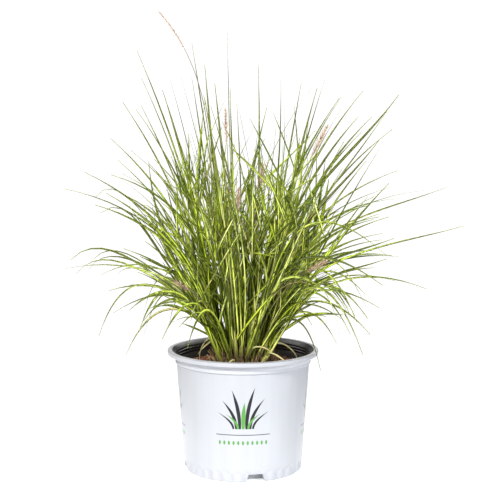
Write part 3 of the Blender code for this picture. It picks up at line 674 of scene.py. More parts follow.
def drain_holes(sides=24):
    points, faces = [], []
    for pocket in range(POCKET_COUNT):
        angle = POCKET_TURN + 2 * math.pi * pocket / POCKET_COUNT
        reach = BASE_RADIUS - DRAIN_INSET
        start = len(points)
        for height in (POCKET_HEIGHT - DRAIN_CUT_PAST, POCKET_HEIGHT + WALL + DRAIN_CUT_PAST):
            for turn in 2 * np.pi * np.arange(sides) / sides:
                points.append((reach * math.cos(angle) + DRAIN_RADIUS * math.cos(turn),
                               reach * math.sin(angle) + DRAIN_RADIUS * math.sin(turn), height))
        faces.append([start + k for k in reversed(range(sides))])
        faces.append([start + sides + k for k in range(sides)])
        for k in range(sides):
            n = (k + 1) % sides
            faces.append((start + k, start + n, start + sides + n, start + sides + k))
    return new_piece("drain_holes", points, faces, material=black)


def carve(obj, *cutters):
    """Takes the cutters out of the piece. The new faces get the material of their cutter."""
    for cutter in cutters:
        modifier = obj.modifiers.new("cut", "BOOLEAN")
        modifier.operation = "DIFFERENCE"
        modifier.solver = "EXACT"
        modifier.material_mode = "TRANSFER"
        modifier.object = cutter
    make_plain(obj)
    for cutter in cutters:
        bpy.data.objects.remove(cutter, do_unlink=True)


hollow = turned("hollow", inside_profile(), POT_SEGMENTS, black)
carve(hollow, pocket_blocks("pocket_walls", black, WALL))
carve(tub, pocket_blocks("pockets", white), hollow, drain_holes())
shade_round(tub, 32)
print("tub:", len(tub.data.polygons), "faces, materials", [m.name for m in tub.data.materials])
hand_in(tub, "pot_plastic", "pot")

# %% [markdown]
# ## The soil
# Nursery soil is composted bark: near-black crumbs with red-brown slivers lying on top. The
# bed is a turned dish, raised into crumbs by a little noise on its upper rings. The slivers
# repeat by the thousand, so Geometry Nodes scatter them over its upper faces with a fixed
# seed, each one a rough flake that is turned and scaled at random. They lie deeper round the
# crown, where soil is heaped against the shoots.

# %% The soil bed
SOIL_SEGMENTS = 200
SOIL_EDGE_HEIGHT = 0.163
SOIL_MOUND = 0.004
SOIL_SLOPE = 1.4
CRUMBS_WITHIN = 0.1025
CRUMB_RISE = 0.0007
CRUMB_SHIFT = 0.0006
CROWN_RADIUS = 0.047
CROWN_BOTTOM = 0.148
CROWN_EDGE_HEIGHT = 0.169
CROWN_DOME = 0.006
GAP = 0.0003
SOIL_RINGS = 30


def soil_height(radius):
    """The even mound, before its crumbs."""
    edge = body_radius(SOIL_EDGE_HEIGHT) - WALL - GAP
    share = (edge - radius) / (edge - CROWN_RADIUS)
    return SOIL_EDGE_HEIGHT + SOIL_MOUND * min(1, share * SOIL_SLOPE)


def soil_profile():
    edge = body_radius(SOIL_EDGE_HEIGHT) - WALL - GAP
    recess = CROWN_RADIUS + GAP
    lower = [point for point in inside_profile(inset=GAP) if point[1] < SOIL_EDGE_HEIGHT - 0.01]
    upper = [(radius, soil_height(radius)) for radius in np.linspace(edge, recess, SOIL_RINGS)]
    return lower + upper + [(recess, CROWN_BOTTOM - GAP), (0, CROWN_BOTTOM - GAP)]


def soil_paint():
    paint = Finish("potting_soil", Specular_IOR_Level=0.25)
    where = paint.place()
    crumbs = paint.noise(where, 300, 6)
    patches = paint.noise(where, 45, 3)
    grit = paint.noise(where, 1400, 2)
    colour = paint.ramp(crumbs, (0.30, (0.006, 0.004, 0.003)), (0.52, (0.022, 0.013, 0.009)),
                        (0.70, (0.060, 0.032, 0.019)))
    colour = paint.blend(patches.step(0.5, 0.75) * 0.55, colour, (0.075, 0.036, 0.020))
    colour = paint.blend(grit.step(0.68, 0.74) * 0.6, colour, (0.20, 0.14, 0.09))
    return paint.finish(Base_Color=colour, Roughness=0.8 + crumbs * 0.18,
                        Normal=paint.bump(crumbs + grit * 0.4, 0.0015, 0.9))


soil_colour = soil_paint()
bark_colour = fibrous(
    "bark_flakes", 0.3, "tone",
    ((0.0, (0.026, 0.011, 0.006)), (0.4, (0.140, 0.040, 0.016)),
     (0.8, (0.250, 0.092, 0.040)), (1.0, (0.520, 0.340, 0.200))),
    fibre=(500, 4, (1, 1, 4)), streaks=(0.45, 0.75, 0.55), streak_colour=(0.020, 0.011, 0.008),
    rough=(0.72, 0.2), relief=(0.0006, 0.8))

# %% Raising the crumbs
soil = turned("soil_bed", soil_profile(), SOIL_SEGMENTS, soil_colour)
crumb_rng = np.random.default_rng(4)
for vertex in soil.data.vertices:
    radius = math.hypot(vertex.co.x, vertex.co.y)
    on_top = vertex.co.z > SOIL_EDGE_HEIGHT - 0.0001
    if on_top and CROWN_RADIUS + 0.001 < radius < CRUMBS_WITHIN:
        vertex.co.z += crumb_rng.normal(0, CRUMB_RISE)
        vertex.co.x += crumb_rng.normal(0, CRUMB_SHIFT)
        vertex.co.y += crumb_rng.normal(0, CRUMB_SHIFT)
carve(soil, pocket_blocks("pocket_room", soil_colour, WALL + GAP))
shade_round(soil, 50)
print("soil:", len(soil.data.polygons), "faces")

# %% Scattering the bark


def bark_recipe():
    bark = Recipe("scatter_bark", Density="number", Size="number", Floor="number", Reach="number",
                  Seed="count", Material="material")
    x, y, z = bark.parts(bark.node("GeometryNodeInputPosition"))
    radius = (x * x + y * y).math("SQRT")
    within = radius.math("LESS_THAN", bark.input("Reach"))
    upper = z.math("GREATER_THAN", bark.input("Floor")) * within
    near_crown = (1 - (radius - 0.05) * 25.0).clipped()
    heap = bark.node("ShaderNodeCombineXYZ", None, {2: near_crown * bark.random(0.0, 0.005, 4)})
    heaped = bark.node("GeometryNodeSetPosition", None, {
        "Geometry": bark.spots(upper), "Offset": heap})
    flake = bark.node("GeometryNodeMeshIcoSphere", None, {"Radius": 1.0, "Subdivisions": 1})
    lie = bark.random((-0.5, -0.5, 0.0), (0.5, 0.5, 6.28), 1, "FLOAT_VECTOR")
    size = bark.random((0.5, 0.18, 0.10), (1.7, 0.55, 0.24), 2, "FLOAT_VECTOR")
    sized = bark.node("ShaderNodeVectorMath", {"operation": "SCALE"}, {
        0: size, "Scale": bark.input("Size")})
    bark.stand(heaped, flake, lie, sized, 3, smooth=False)
    return bark


bark = new_piece("bark_mulch", [])
bark.data = soil.data.copy()
bark_recipe().grow(
    bark, Density=105000.0, Size=0.0026, Floor=SOIL_EDGE_HEIGHT - 0.001, Reach=0.1015, Seed=5,
    Material=bark_colour)
hand_in(soil, "potting_soil", "soil")
hand_in(bark, "potting_soil")

# %% [markdown]
# ## How the clump grows
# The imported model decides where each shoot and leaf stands. A script can't read the lines back
# from that model, so this part repeats the way that it was grown, step for step and with
# the same seed, and gets the same lines. The leaves in the outline are measured. The others
# are drawn at random near a leading leaf, and one that would touch a neighbour is drawn again.

# %% Measures of the shoots
LEAF_HALF_WIDTH = 0.0016
LEAF_HALF_DEPTH = 0.0005
LEAF_THINNEST = 0.4
LEAF_TAPER = 2.5
LEAF_SEGMENTS = 4
SHEATH_RADIUS = 0.0022
SHEATH_TAPER = 0.09
SHEATH_LEVELS = (0.012, 0.030, 0.048, 0.066)
COLLAR_SHARE = 0.07
COLLAR_LIFT = 0.0062
ROOTS_RADIUS = 0.0425
ROOTS_TO_TRY = 7
WIDEST_REACH = 0.26
GOLDEN_ANGLE = math.radians(137.508)
TIP_SPREAD = 0.036
SHORTEST_SHARE = 0.55
LONGEST_SHARE = 0.97
FAN_CURVE = 1.3
CLEARANCE = 0.0004
FLAT_SHARE = 0.8
LIP_CLEARANCE = 0.005
PROBES = 9
TRIES = 240
NUDGE = 0.0005
NUDGE_RISE = 0.3
MEASURED_ACROSS = 0.3
SEED = 12
STEM_RADIUS = 0.0010
STEM_FOOT_SWELL = 1.3
STEM_RINGS = 6
PLUME_SIDES = 6
PLUME_SHARES = (0.06, 0.22, 0.5, 0.8, 1.0)
PLUME_SWELL = (0.6, 0.9, 1.0, 0.66)

# %% The measured leaves
# Each leaf is the points that it passes through after the crown, the last one its tip:
# across, deep, up, in millimetres.
MEASURED_MM = (
    (((135, -20, 325), (245, -30, 365), (340, -40, 390)),
     ((105, -10, 315), (185, -15, 340), (245, -20, 340))),
    (((130, 45, 375), (295, 70, 440)), ((120, 60, 345), (225, 90, 400))),
    (((105, -75, 345), (215, -120, 410)),),
    (((100, -10, 380), (240, -20, 475)), ((105, -20, 365), (190, -30, 490))),
    (((125, 80, 415), (250, 120, 540)),),
    (((110, -50, 410), (150, -60, 470), (215, -80, 565)),),
    (((115, -90, 350), (155, -130, 435), (195, -160, 510)),),
    (((65, -40, 430), (145, -60, 585)), ((75, -25, 415), (150, -40, 570))),
    (((75, 90, 425), (125, 140, 610)), ((80, 80, 400), (135, 120, 555))),
    (((155, 30, 295), (300, 50, 280)), ((110, 20, 290), (210, 30, 320))),
    (((125, -40, 290), (210, -60, 265)),),
    (((140, 105, 280), (215, 150, 215)),),
    (((120, 15, 265), (205, 20, 210)), ((90, 0, 245), (160, 0, 245))),
    (((115, -90, 300), (175, -150, 210)),),
    (((115, 125, 265), (190, 190, 180)),),
    (((115, 110, 310), (240, 170, 350)),),
    (((105, -115, 350), (200, -170, 315)),),
    (((90, 15, 445), (190, 20, 600)), ((90, 20, 425), (185, 30, 560))),
    (((85, -135, 405), (140, -200, 520)), ((85, -145, 390), (130, -210, 500))),
    (((30, 35, 460), (110, 50, 605)), ((40, 40, 395), (95, 60, 555))),
    (((25, 65, 440), (25, 100, 645)), ((10, 60, 410), (40, 90, 575))),
    (((50, -80, 450), (55, -120, 610)), ((55, -65, 415), (60, -100, 575))),
    (((-20, 40, 475), (-25, 60, 695)), ((-5, 25, 410), (-10, 40, 580))),
    (((-45, 105, 450), (-65, 160, 650)), ((-15, 95, 400), (-55, 150, 580))),
    (((-90, 30, 445), (-170, 50, 665)),),
    (((-55, -90, 465), (-90, -130, 615)), ((-45, -75, 410), (-70, -110, 550))),
    (((-30, -115, 425), (-55, -180, 585)), ((-5, -115, 385), (-45, -190, 535))),
    (((-90, -30, 420), (-155, -50, 575)), ((-85, -20, 430), (-165, -30, 570))),
    (((-95, 35, 375), (-215, 60, 525)), ((-95, 50, 385), (-200, 70, 465))),
    (((-95, 125, 400), (-195, 180, 505)),),
    (((-115, -65, 380), (-235, -100, 475)), ((-105, -55, 410), (-205, -80, 465))),
    (((-130, 15, 370), (-285, 20, 445)), ((-100, 20, 365), (-200, 30, 440))),
    (((-105, -125, 330), (-160, -190, 430)), ((-95, -115, 325), (-155, -180, 425))),
    (((-95, 35, 265), (-170, 55, 320), (-240, 70, 345), (-285, 80, 325)),),
    (((-140, -30, 315), (-275, -50, 325)), ((-100, -25, 310), (-185, -40, 355))),
    (((-135, 95, 275), (-230, 140, 265)), ((-100, 105, 290), (-180, 150, 305))),
    (((-120, -95, 290), (-190, -140, 270)),),
    (((-125, 20, 250), (-190, 30, 175)), ((-85, 15, 260), (-155, 20, 250))),
    (((-125, 130, 265), (-175, 190, 180)),),
    (((-85, -135, 280), (-115, -190, 240)), ((-60, -120, 270), (-80, -180, 225))),
    (((-120, 120, 330), (-165, 200, 485)), ((-65, 120, 355), (-125, 190, 495))),
    (((-95, 60, 285), (-170, 95, 380), (-215, 115, 410), (-240, 120, 400)),),
    (((-55, -135, 400), (-90, -200, 525)), ((-45, -125, 400), (-75, -190, 525))),
)

# Shoots that lean to the front and the back, where the outline shows nothing of them
HIDDEN_HEADINGS = (-118, -97, -80, -62, 62, 90, 117)
HIDDEN_REACH = 0.215
HIDDEN_RISE = 0.225
HIDDEN_BEND = (0.42, 0.74)

# Flowering stems: the points each passes through, then the length and radius of its plume
FLOWER_STEMS = (
    (((0.072, 0.030, 0.400), (0.137, 0.060, 0.545)), 0.060, 0.0048),
    (((0.014, -0.040, 0.350), (0.030, -0.075, 0.485)), 0.040, 0.0045),
    (((-0.018, 0.015, 0.380), (-0.028, 0.020, 0.572)), 0.055, 0.0032),
    (((-0.010, -0.060, 0.310), (-0.006, -0.100, 0.450)), 0.040, 0.0042),
    (((0.052, -0.070, 0.280), (0.122, -0.130, 0.345)), 0.038, 0.0038),
    (((-0.050, -0.075, 0.265), (-0.100, -0.130, 0.315)), 0.034, 0.0036),
    (((-0.050, 0.000, 0.475), (-0.064, 0.000, 0.590), (-0.132, 0.000, 0.722)), 0.070, 0.0020),
)

# %% Smooth lines and the gaps between them


def crown_top(radius):
    return CROWN_EDGE_HEIGHT + CROWN_DOME * (1 - (radius / CROWN_RADIUS) ** 2)


def smooth_line(points, shares):
    """Places along the one smooth curve through all the points, at shares of its length."""
    points = np.array(points, float)
    steps = np.linalg.norm(np.diff(points, axis=0), axis=1)
    reach = np.concatenate([[0], np.cumsum(steps)]) / steps.sum()
    fit = np.polyfit(reach, points, len(points) - 1)
    return np.stack([np.polyval(fit[:, axis], shares) for axis in range(3)], axis=1)


def segment_gaps(a0, a1, b0, b1):
    """Shortest distance from each segment a to each segment b, one row for each a."""
    a0, a1 = a0[:, None, :], a1[:, None, :]
    b0, b1 = b0[None, :, :], b1[None, :, :]
    da, db, start = a1 - a0, b1 - b0, a0 - b0
    aa, bb, ab = (da * da).sum(-1), (db * db).sum(-1), (da * db).sum(-1)
    sa, sb = (da * start).sum(-1), (db * start).sum(-1)
    away = np.maximum(aa * bb - ab * ab, 1e-18)
    s = np.clip((ab * sb - sa * bb) / away, 0, 1)
    t = (ab * s + sb) / bb
    s = np.where(t < 0, np.clip(-sa / aa, 0, 1), np.where(t > 1, np.clip((ab - sa) / aa, 0, 1), s))
    t = np.clip(t, 0, 1)
    return np.linalg.norm(start + da * s[..., None] - db * t[..., None], axis=-1)


def frames_along(line, out):
    """A side and an underside direction at each place on a line that leans towards out."""
    tangents = np.gradient(line, axis=0)
    tangents /= np.linalg.norm(tangents, axis=1)[:, None]
    side = np.array((-out[1], out[0], 0.0))
    side /= max(np.linalg.norm(side), 1e-9)
    sides = side - tangents * (tangents @ side)[:, None]
    sides /= np.linalg.norm(sides, axis=1)[:, None]
    return sides, np.cross(sides, tangents)


def clear_of_pot(line):
    """True where the line passes over the lip or outside it, and does not dip into the soil."""
    shares = np.linspace(0, 1, PROBES)[:, None, None]
    places = (line[:-1] * (1 - shares) + line[1:] * shares).reshape(-1, 3)
    radius, height = np.hypot(places[:, 0], places[:, 1]), places[:, 2]
    in_lip = (radius > SHOULDER_RADIUS - LIP_CLEARANCE) & (radius < LIP_RADIUS + LIP_CLEARANCE)
    in_lip &= height < POT_HEIGHT + LIP_CLEARANCE
    in_soil = (radius > CROWN_RADIUS) & (radius < SHOULDER_RADIUS)
    in_soil &= height < CROWN_EDGE_HEIGHT + LIP_CLEARANCE
    return not (in_lip | in_soil).any()


# %% [markdown]
# ### Keeping leaves apart
# A leaf is first compared with the others as a line with a thickness, which is quick. Only
# then is its stem's rough solid tested against the rest, triangle against triangle.

# %% Rough solids of shoots and stems


def round_ring(place, side, under, radius, count=3):
    turns = [2 * math.pi * k / count for k in range(count)]
    return [place + (under * math.cos(turn) + side * math.sin(turn)) * radius for turn in turns]


def blade_ring(place, side, keel, width):
    """A shallow V across a leaf: its keel, then one edge, then the other."""
    depth = LEAF_HALF_DEPTH * (LEAF_THINNEST + (1 - LEAF_THINNEST) * width / LEAF_HALF_WIDTH)
    edges = place - keel * depth
    return [place + keel * depth, edges + side * width, edges - side * width]


class Solid:
    """Points and faces of one closed body, put together from rings."""

    def __init__(self):
        self.points = []
        self.faces = []

    def ring(self, places):
        first = len(self.points)
        self.points.extend(places)
        return list(range(first, len(self.points)))

    def triangles(self):
        return [(face[0], face[k], face[k + 1])
                for face in self.faces for k in range(1, len(face) - 1)]

    def tube(self, low, high):
        count = len(low)
        for k in range(count):
            n = (k + 1) % count
            self.faces.append((low[k], low[n], high[n], high[k]))

    def tip(self, ring, place):
        self.points.append(place)
        last = len(self.points) - 1
        count = len(ring)
        for k in range(count):
            self.faces.append((ring[k], ring[(k + 1) % count], last))


def on_crown(place):
    """The place set down on the crown's dome."""
    return np.array((place[0], place[1], crown_top(np.hypot(place[0], place[1])) + GAP))


def shoot_solid(shoot):
    """The sheath and leading leaf as one tube; each other leaf grows out of half a side face."""
    solid = Solid()
    sides, unders = shoot.sides, shoot.unders
    sheath_rings = len(SHEATH_LEVELS) + 1
    base = round_ring(shoot.line[0], sides[0], unders[0], shoot.widths[0])
    low = solid.ring([on_crown(place) for place in base])
    solid.faces.append(tuple(reversed(low)))
    for k in range(1, len(shoot.line) - 1):
        if k < sheath_rings:
            high = solid.ring(round_ring(shoot.line[k], sides[k], unders[k], shoot.widths[k]))
        else:
            high = solid.ring(blade_ring(shoot.line[k], sides[k], unders[k], shoot.widths[k]))
        level = k - 1
        if level in shoot.side_leaves:
            grow_from_side(solid, low, high, shoot.side_leaves[level])
        else:
            solid.tube(low, high)
        low = high
    solid.tip(low, shoot.line[-1])
    return solid


def grow_from_side(solid, low, high, leaf):
    """One segment of sheath, with half of the leaf's face opened into the leaf.

    The leaf leaves with its edges outwards and its keel to the sheath, and rolls level on the way.
    """
    count = len(low)
    for k in range(count):
        n = (k + 1) % count
        if k == leaf.face:
            solid.faces.append((low[k], high[n], high[k]))
        else:
            solid.faces.append((low[k], low[n], high[n], high[k]))
    near, far = low[leaf.face], low[(leaf.face + 1) % count]
    ring = (near, far, high[(leaf.face + 1) % count])
    levels, unders = frames_along(leaf.line, leaf.line[-1] - leaf.line[0])
    tangents = np.cross(unders, levels)
    side = solid.points[far] - solid.points[near]
    for place, tangent, level, share in list(zip(leaf.line, tangents, levels, SIDE_SHARES))[1:-1]:
        side = side - tangent * (tangent @ side)
        side /= np.linalg.norm(side)
        level = level if level @ side > 0 else -level
        side = side * (1 - share) + level * share
        side /= np.linalg.norm(side)
        keel = np.cross(tangent, side)
        new = solid.ring(blade_ring(place, side, keel, leaf_width(share))[::-1])
        solid.tube(ring, new)
        ring = new
    solid.tip(ring, leaf.line[-1])


def stem_line(root, points, plume_length, plume_radius):
    """Places up a flowering stem, close together in its plume, and how thick each stretch is."""
    path = np.vstack([root, points])
    length = np.linalg.norm(np.diff(path, axis=0), axis=1).sum()
    bare = 1 - plume_length / length
    stem = np.linspace(0, bare, STEM_RINGS)
    plume = [bare + (1 - bare) * share for share in PLUME_SHARES]
    line = smooth_line(path, np.array([*stem, *plume]))
    radii = [STEM_RADIUS] * (STEM_RINGS - 1) + [plume_radius] * len(PLUME_SHARES)
    return line, np.array(radii)


def stem_solid(line, plume_radius):
    solid = Solid()
    sides, unders = frames_along(line, line[-1] - line[0])
    base = round_ring(line[0], sides[0], unders[0], STEM_RADIUS * STEM_FOOT_SWELL, PLUME_SIDES)
    low = solid.ring([on_crown(place) for place in base])
    solid.faces.append(tuple(reversed(low)))
    radii = [STEM_RADIUS] * (STEM_RINGS - 1) + [plume_radius * swell for swell in PLUME_SWELL]
    for k, radius in enumerate(radii, 1):
        high = solid.ring(round_ring(line[k], sides[k], unders[k], radius, PLUME_SIDES))
        solid.tube(low, high)
        low = high
    solid.tip(low, line[-1])
    return solid


# %% What already stands
NO_STEM = -1


class Thicket:
    """What already stands: each line, how thick its stretches are, its stem, and the solids."""

    def __init__(self):
        self.trees = {}
        self.starts = np.empty((0, 3))
        self.ends = np.empty((0, 3))
        self.radii = np.empty(0)
        self.stems = np.empty(0, int)

    def clear_of(self, line, radii, stem):
        """True where the line keeps its clearance. Its own stem may hold its first segment."""
        if not clear_of_pot(line):
            return False
        if not len(self.starts):
            return True
        apart = segment_gaps(line[:-1], line[1:], self.starts, self.ends)
        apart -= radii[:, None] + self.radii[None, :] + CLEARANCE
        apart[0, self.stems == stem] = 1
        return bool((apart > 0).all())

    def accepts(self, stem, solid):
        """Keeps the stem's solid if its surface crosses neither itself nor another's."""
        triangles = solid.triangles()
        tree = BVHTree.FromPolygons([Vector(map(float, p)) for p in solid.points], triangles)
        for first, second in tree.overlap(tree):
            if not set(triangles[first]) & set(triangles[second]):
                return False
        if any(tree.overlap(other) for owner, other in self.trees.items() if owner != stem):
            return False
        self.trees[stem] = tree
        return True

    def add(self, line, radii, stem=NO_STEM):
        self.starts = np.vstack([self.starts, line[:-1]])
        self.ends = np.vstack([self.ends, line[1:]])
        self.radii = np.concatenate([self.radii, radii])
        self.stems = np.concatenate([self.stems, np.full(len(radii), stem)])


# %% One shoot
SIDE_SHARES = np.concatenate([[0.0], np.linspace(COLLAR_SHARE, 1, LEAF_SEGMENTS)])
SIDE_LIFTS = np.concatenate([[0.0], np.linspace(1, 0, LEAF_SEGMENTS)])


def leaf_width(share):
    """Half width along a leaf: it narrows slowly, then runs out to a point."""
    return LEAF_HALF_WIDTH * (1 - share ** LEAF_TAPER)


SIDE_RADII = FLAT_SHARE * np.array([leaf_width(share) for share in SIDE_SHARES[:-1]])
SideLeaf = collections.namedtuple("SideLeaf", "face line points")


class Shoot:
    """One shoot: its root on the crown, its leading leaf and the leaves from its sheath."""

    def __init__(self, stem, lead, across):
        self.stem = stem
        self.lead = lead
        self.across = across
        self.side_leaves = {}

    def settle_lead(self):
        path = np.vstack([self.root, self.lead])
        length = np.linalg.norm(np.diff(path, axis=0), axis=1).sum()
        sheath = [0.0] + [level / length for level in SHEATH_LEVELS]
        blade = list(np.linspace(sheath[-1], 1, LEAF_SEGMENTS + 1)[1:])
        self.shares = np.array(sheath + blade)
        self.line = smooth_line(path, self.shares)
        count = len(SHEATH_LEVELS)
        widths = np.array([SHEATH_RADIUS * (1 - SHEATH_TAPER * k) for k in range(count + 1)]
                          + [leaf_width(share) for share in blade])
        self.widths = widths
        self.sides, self.unders = frames_along(self.line, self.line[-1] - self.root)
        return self.line, np.maximum(widths[:-1], widths[1:])

    def free_levels(self):
        return [level for level in range(len(SHEATH_LEVELS)) if level not in self.side_leaves]

    def side_start(self, level):
        return (self.line[level] + self.line[level + 1]) / 2

    def face_normal(self, level, face):
        """Out of one of the sheath's three faces: it lies between two corners of the ring."""
        turn = 2 * math.pi * (face + 0.5) / 3
        return self.unders[level] * math.cos(turn) + self.sides[level] * math.sin(turn)

    def side_leaf(self, level, points):
        """A leaf from the sheath to these points, lifted off the face that it grows from."""
        start = self.side_start(level)
        heading = points[-1] - start
        along = self.line[level + 1] - self.line[level]
        heading = heading - along * (heading @ along) / (along @ along)
        face = max(range(3), key=lambda k: self.face_normal(level, k) @ heading)
        line = smooth_line(np.vstack([start, points]), SIDE_SHARES)
        line += self.face_normal(level, face) * (COLLAR_LIFT * SIDE_LIFTS)[:, None]
        return SideLeaf(face, line, points)

    def takes(self, level, points, thicket):
        """Grows the leaf from this stretch of sheath if it stands clear there."""
        leaf = self.side_leaf(level, points)
        if not thicket.clear_of(leaf.line, SIDE_RADII, self.stem):
            return False
        self.side_leaves[level] = leaf
        if not thicket.accepts(self.stem, shoot_solid(self)):
            del self.side_leaves[level]
            return False
        thicket.add(leaf.line, SIDE_RADII)
        return True


# %% Roots, leading leaves and side leaves


def root_places(count):
    """Places on the crown, spread like seeds in a head."""
    places = []
    for k in range(count):
        radius = ROOTS_RADIUS * math.sqrt((k + 0.5) / count)
        angle = k * GOLDEN_ANGLE
        height = crown_top(radius) + GAP
        places.append(np.array((radius * math.cos(angle), radius * math.sin(angle), height)))
    return places


def nearest_places(places, tip):
    """The free places in order, the first one under the leaf's tip on the crown's own scale."""
    wanted = np.array(tip[:2]) * (ROOTS_RADIUS / WIDEST_REACH)
    wanted /= max(1, np.linalg.norm(wanted) / ROOTS_RADIUS)
    return sorted(range(len(places)), key=lambda k: np.linalg.norm(places[k][:2] - wanted))


def hidden_lead(heading, rng):
    angle = math.radians(heading)
    reach = HIDDEN_REACH * rng.uniform(0.85, 1.15)
    rise = HIDDEN_RISE * rng.uniform(0.9, 1.25)
    out = np.array((math.cos(angle), math.sin(angle), 0))
    base = np.array((0, 0, CROWN_EDGE_HEIGHT))
    bend_out, bend_up = HIDDEN_BEND
    bend = base + out * reach * bend_out + (0, 0, rise * bend_up)
    return [bend, base + out * reach + (0, 0, rise)]


def nudges(rng, across):
    """Small moves to try on a leaf, the smallest first, mostly in depth where across is small."""
    yield np.zeros(3)
    for k in range(1, TRIES):
        size = NUDGE * k
        sideways = rng.uniform(-across, across)
        deep = rng.choice((-1, 1))
        yield np.array((sideways, deep, rng.uniform(-NUDGE_RISE, NUDGE_RISE))) * size


def grow_lead(shoot, places, thicket, rng):
    """The leading leaf, from the first nearby root that leaves it clear. False where none does."""
    wanted = np.array(shoot.lead)
    growth = np.linspace(0, 1, len(wanted) + 1)[1:, None]
    nearby = nearest_places(places, wanted[-1])[:ROOTS_TO_TRY]
    for move in nudges(rng, shoot.across):
        shoot.lead = wanted + move * growth
        for place in nearby:
            shoot.root = places[place]
            line, radii = shoot.settle_lead()
            clear = thicket.clear_of(line, radii, shoot.stem)
            if clear and thicket.accepts(shoot.stem, shoot_solid(shoot)):
                thicket.add(line, radii, shoot.stem)
                places.pop(place)
                return True
    return False


def grow_side(shoot, points, thicket, rng):
    """A measured leaf, from the first free stretch of sheath that it stands clear from."""
    wanted = np.array(points)
    growth = np.linspace(0, 1, len(wanted) + 1)[1:, None]
    for move in nudges(rng, shoot.across):
        for level in shoot.free_levels():
            if shoot.takes(level, wanted + move * growth, thicket):
                return


def draw_side(shoot, level, thicket, rng):
    """A leaf that follows the leading one, shorter and fanned out from it."""
    start = shoot.side_start(level)
    along = np.array(shoot.lead) - shoot.root
    heading = along[-1] / np.linalg.norm(along[-1])
    across = np.cross(heading, (0, 0, 1))
    across /= np.linalg.norm(across)
    up = np.cross(across, heading)
    growth = np.linspace(0, 1, len(along) + 1)[1:, None] ** FAN_CURVE
    for k in range(TRIES):
        share = rng.uniform(SHORTEST_SHARE, LONGEST_SHARE)
        angle = rng.uniform(0, 2 * math.pi)
        spread = TIP_SPREAD * math.sqrt(rng.uniform(0.1, 1))
        fan = (across * math.cos(angle) + up * math.sin(angle)) * spread
        points = start + along * share + fan * growth
        if shoot.takes(level, points, thicket):
            return


# %% Growing the whole clump


def grow_clump():
    """Every shoot and flowering stem, no two of them touching."""
    rng = random.Random(SEED)
    measured = [[np.array(leaf) / 1000 for leaf in leaves] for leaves in MEASURED_MM]
    hidden = [hidden_lead(heading, rng) for heading in HIDDEN_HEADINGS]
    places = root_places(len(measured) + len(hidden) + len(FLOWER_STEMS))
    thicket = Thicket()
    stem_lines = []
    for points, length, radius in FLOWER_STEMS:
        root = places.pop(nearest_places(places, points[-1])[0])
        line, radii = stem_line(root, points, length, radius)
        thicket.add(line, radii)
        thicket.accepts(("flower", len(stem_lines)), stem_solid(line, radius))
        stem_lines.append(line)
    shoots = [Shoot(number, leaves[0], MEASURED_ACROSS) for number, leaves in enumerate(measured)]
    shoots += [Shoot(len(measured) + number, lead, 1) for number, lead in enumerate(hidden)]
    shoots = [shoot for shoot in shoots if grow_lead(shoot, places, thicket, rng)]
    for shoot in shoots:
        if shoot.stem < len(measured):
            for points in measured[shoot.stem][1:]:
                grow_side(shoot, points, thicket, rng)
    for level in range(len(SHEATH_LEVELS)):
        for shoot in shoots:
            if level in shoot.free_levels():
                draw_side(shoot, level, thicket, rng)
    return shoots, stem_lines


shoots, stem_lines = grow_clump()
print("grown:", len(shoots), "shoots with", sum(len(s.side_leaves) for s in shoots), "side leaves")

# %% [markdown]
# ## Leaf blades
# A fountain-grass leaf is a long shallow gutter. It is widest below its middle, drawn out to a
# hair at its tip, and rolls to one side as it goes. Modelling each by hand would be endless.
# So a leaf is one chain of points, with a half width and the direction of its width at each,
# and a Geometry Nodes tree sweeps a folded section along all the chains at once.

# %% One blade
BLADE_POINTS = 17
BLADE_SPACING = 0.92
BLADE_SHARES = np.linspace(0, 1, BLADE_POINTS) ** BLADE_SPACING
TIP_HALF_WIDTH = 0.00045
TAPER_FROM = 0.6
TAPER_POWER = 2.4
UNFOLDED = (0.1, 0.25)
WIDTH_SPREAD = (0.75, 1.25)
TWIST_SPREAD = 0.35
TWIST_POWER = 1.3
LOOKS_SEED = 21
looks = random.Random(LOOKS_SEED)
Blade = collections.namedtuple("Blade", "line half_widths widthways tone")


def blade_width(widest, unfolded):
    """Half width along a leaf, from its folded foot to the hair at its tip."""
    opening = np.clip(BLADE_SHARES / unfolded, 0, 1)
    tapering = 1 - np.clip((BLADE_SHARES - TAPER_FROM) / (1 - TAPER_FROM), 0, 1) ** TAPER_POWER
    return np.maximum(widest * (0.5 + 0.5 * opening) * tapering, TIP_HALF_WIDTH)


def blade_on(line, widest, tone, roll, twist):
    """A leaf along a line, face up, then rolled about the line, by twist more at the tip."""
    sides, unders = frames_along(line, line[-1] - line[0] + 1e-6)
    turns = (roll + twist * BLADE_SHARES ** TWIST_POWER)[:, None]
    widthways = sides * np.cos(turns) + unders * np.sin(turns)
    return Blade(line, blade_width(widest, looks.uniform(*UNFOLDED)), widthways, tone)


def random_blade(line, widest, turned_by=(0.2, 1.5)):
    """A leaf of any tone, turned to one side by an angle in this range."""
    widest *= looks.uniform(*WIDTH_SPREAD)
    roll = looks.choice((-1, 1)) * looks.uniform(*turned_by)
    return blade_on(line, widest, looks.random(), roll, looks.gauss(0, TWIST_SPREAD))


# %% [markdown]
# ### Four kinds of leaf
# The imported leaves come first, so that the outline stays. Companions then stand between two
# leaves of a shoot. Short leaves follow: they leave the shoots at an angle and cross each
# other, which is what makes the middle of the clump look woven and not combed. Thin leaves
# come last, high up, where the clump opens out into single blades.

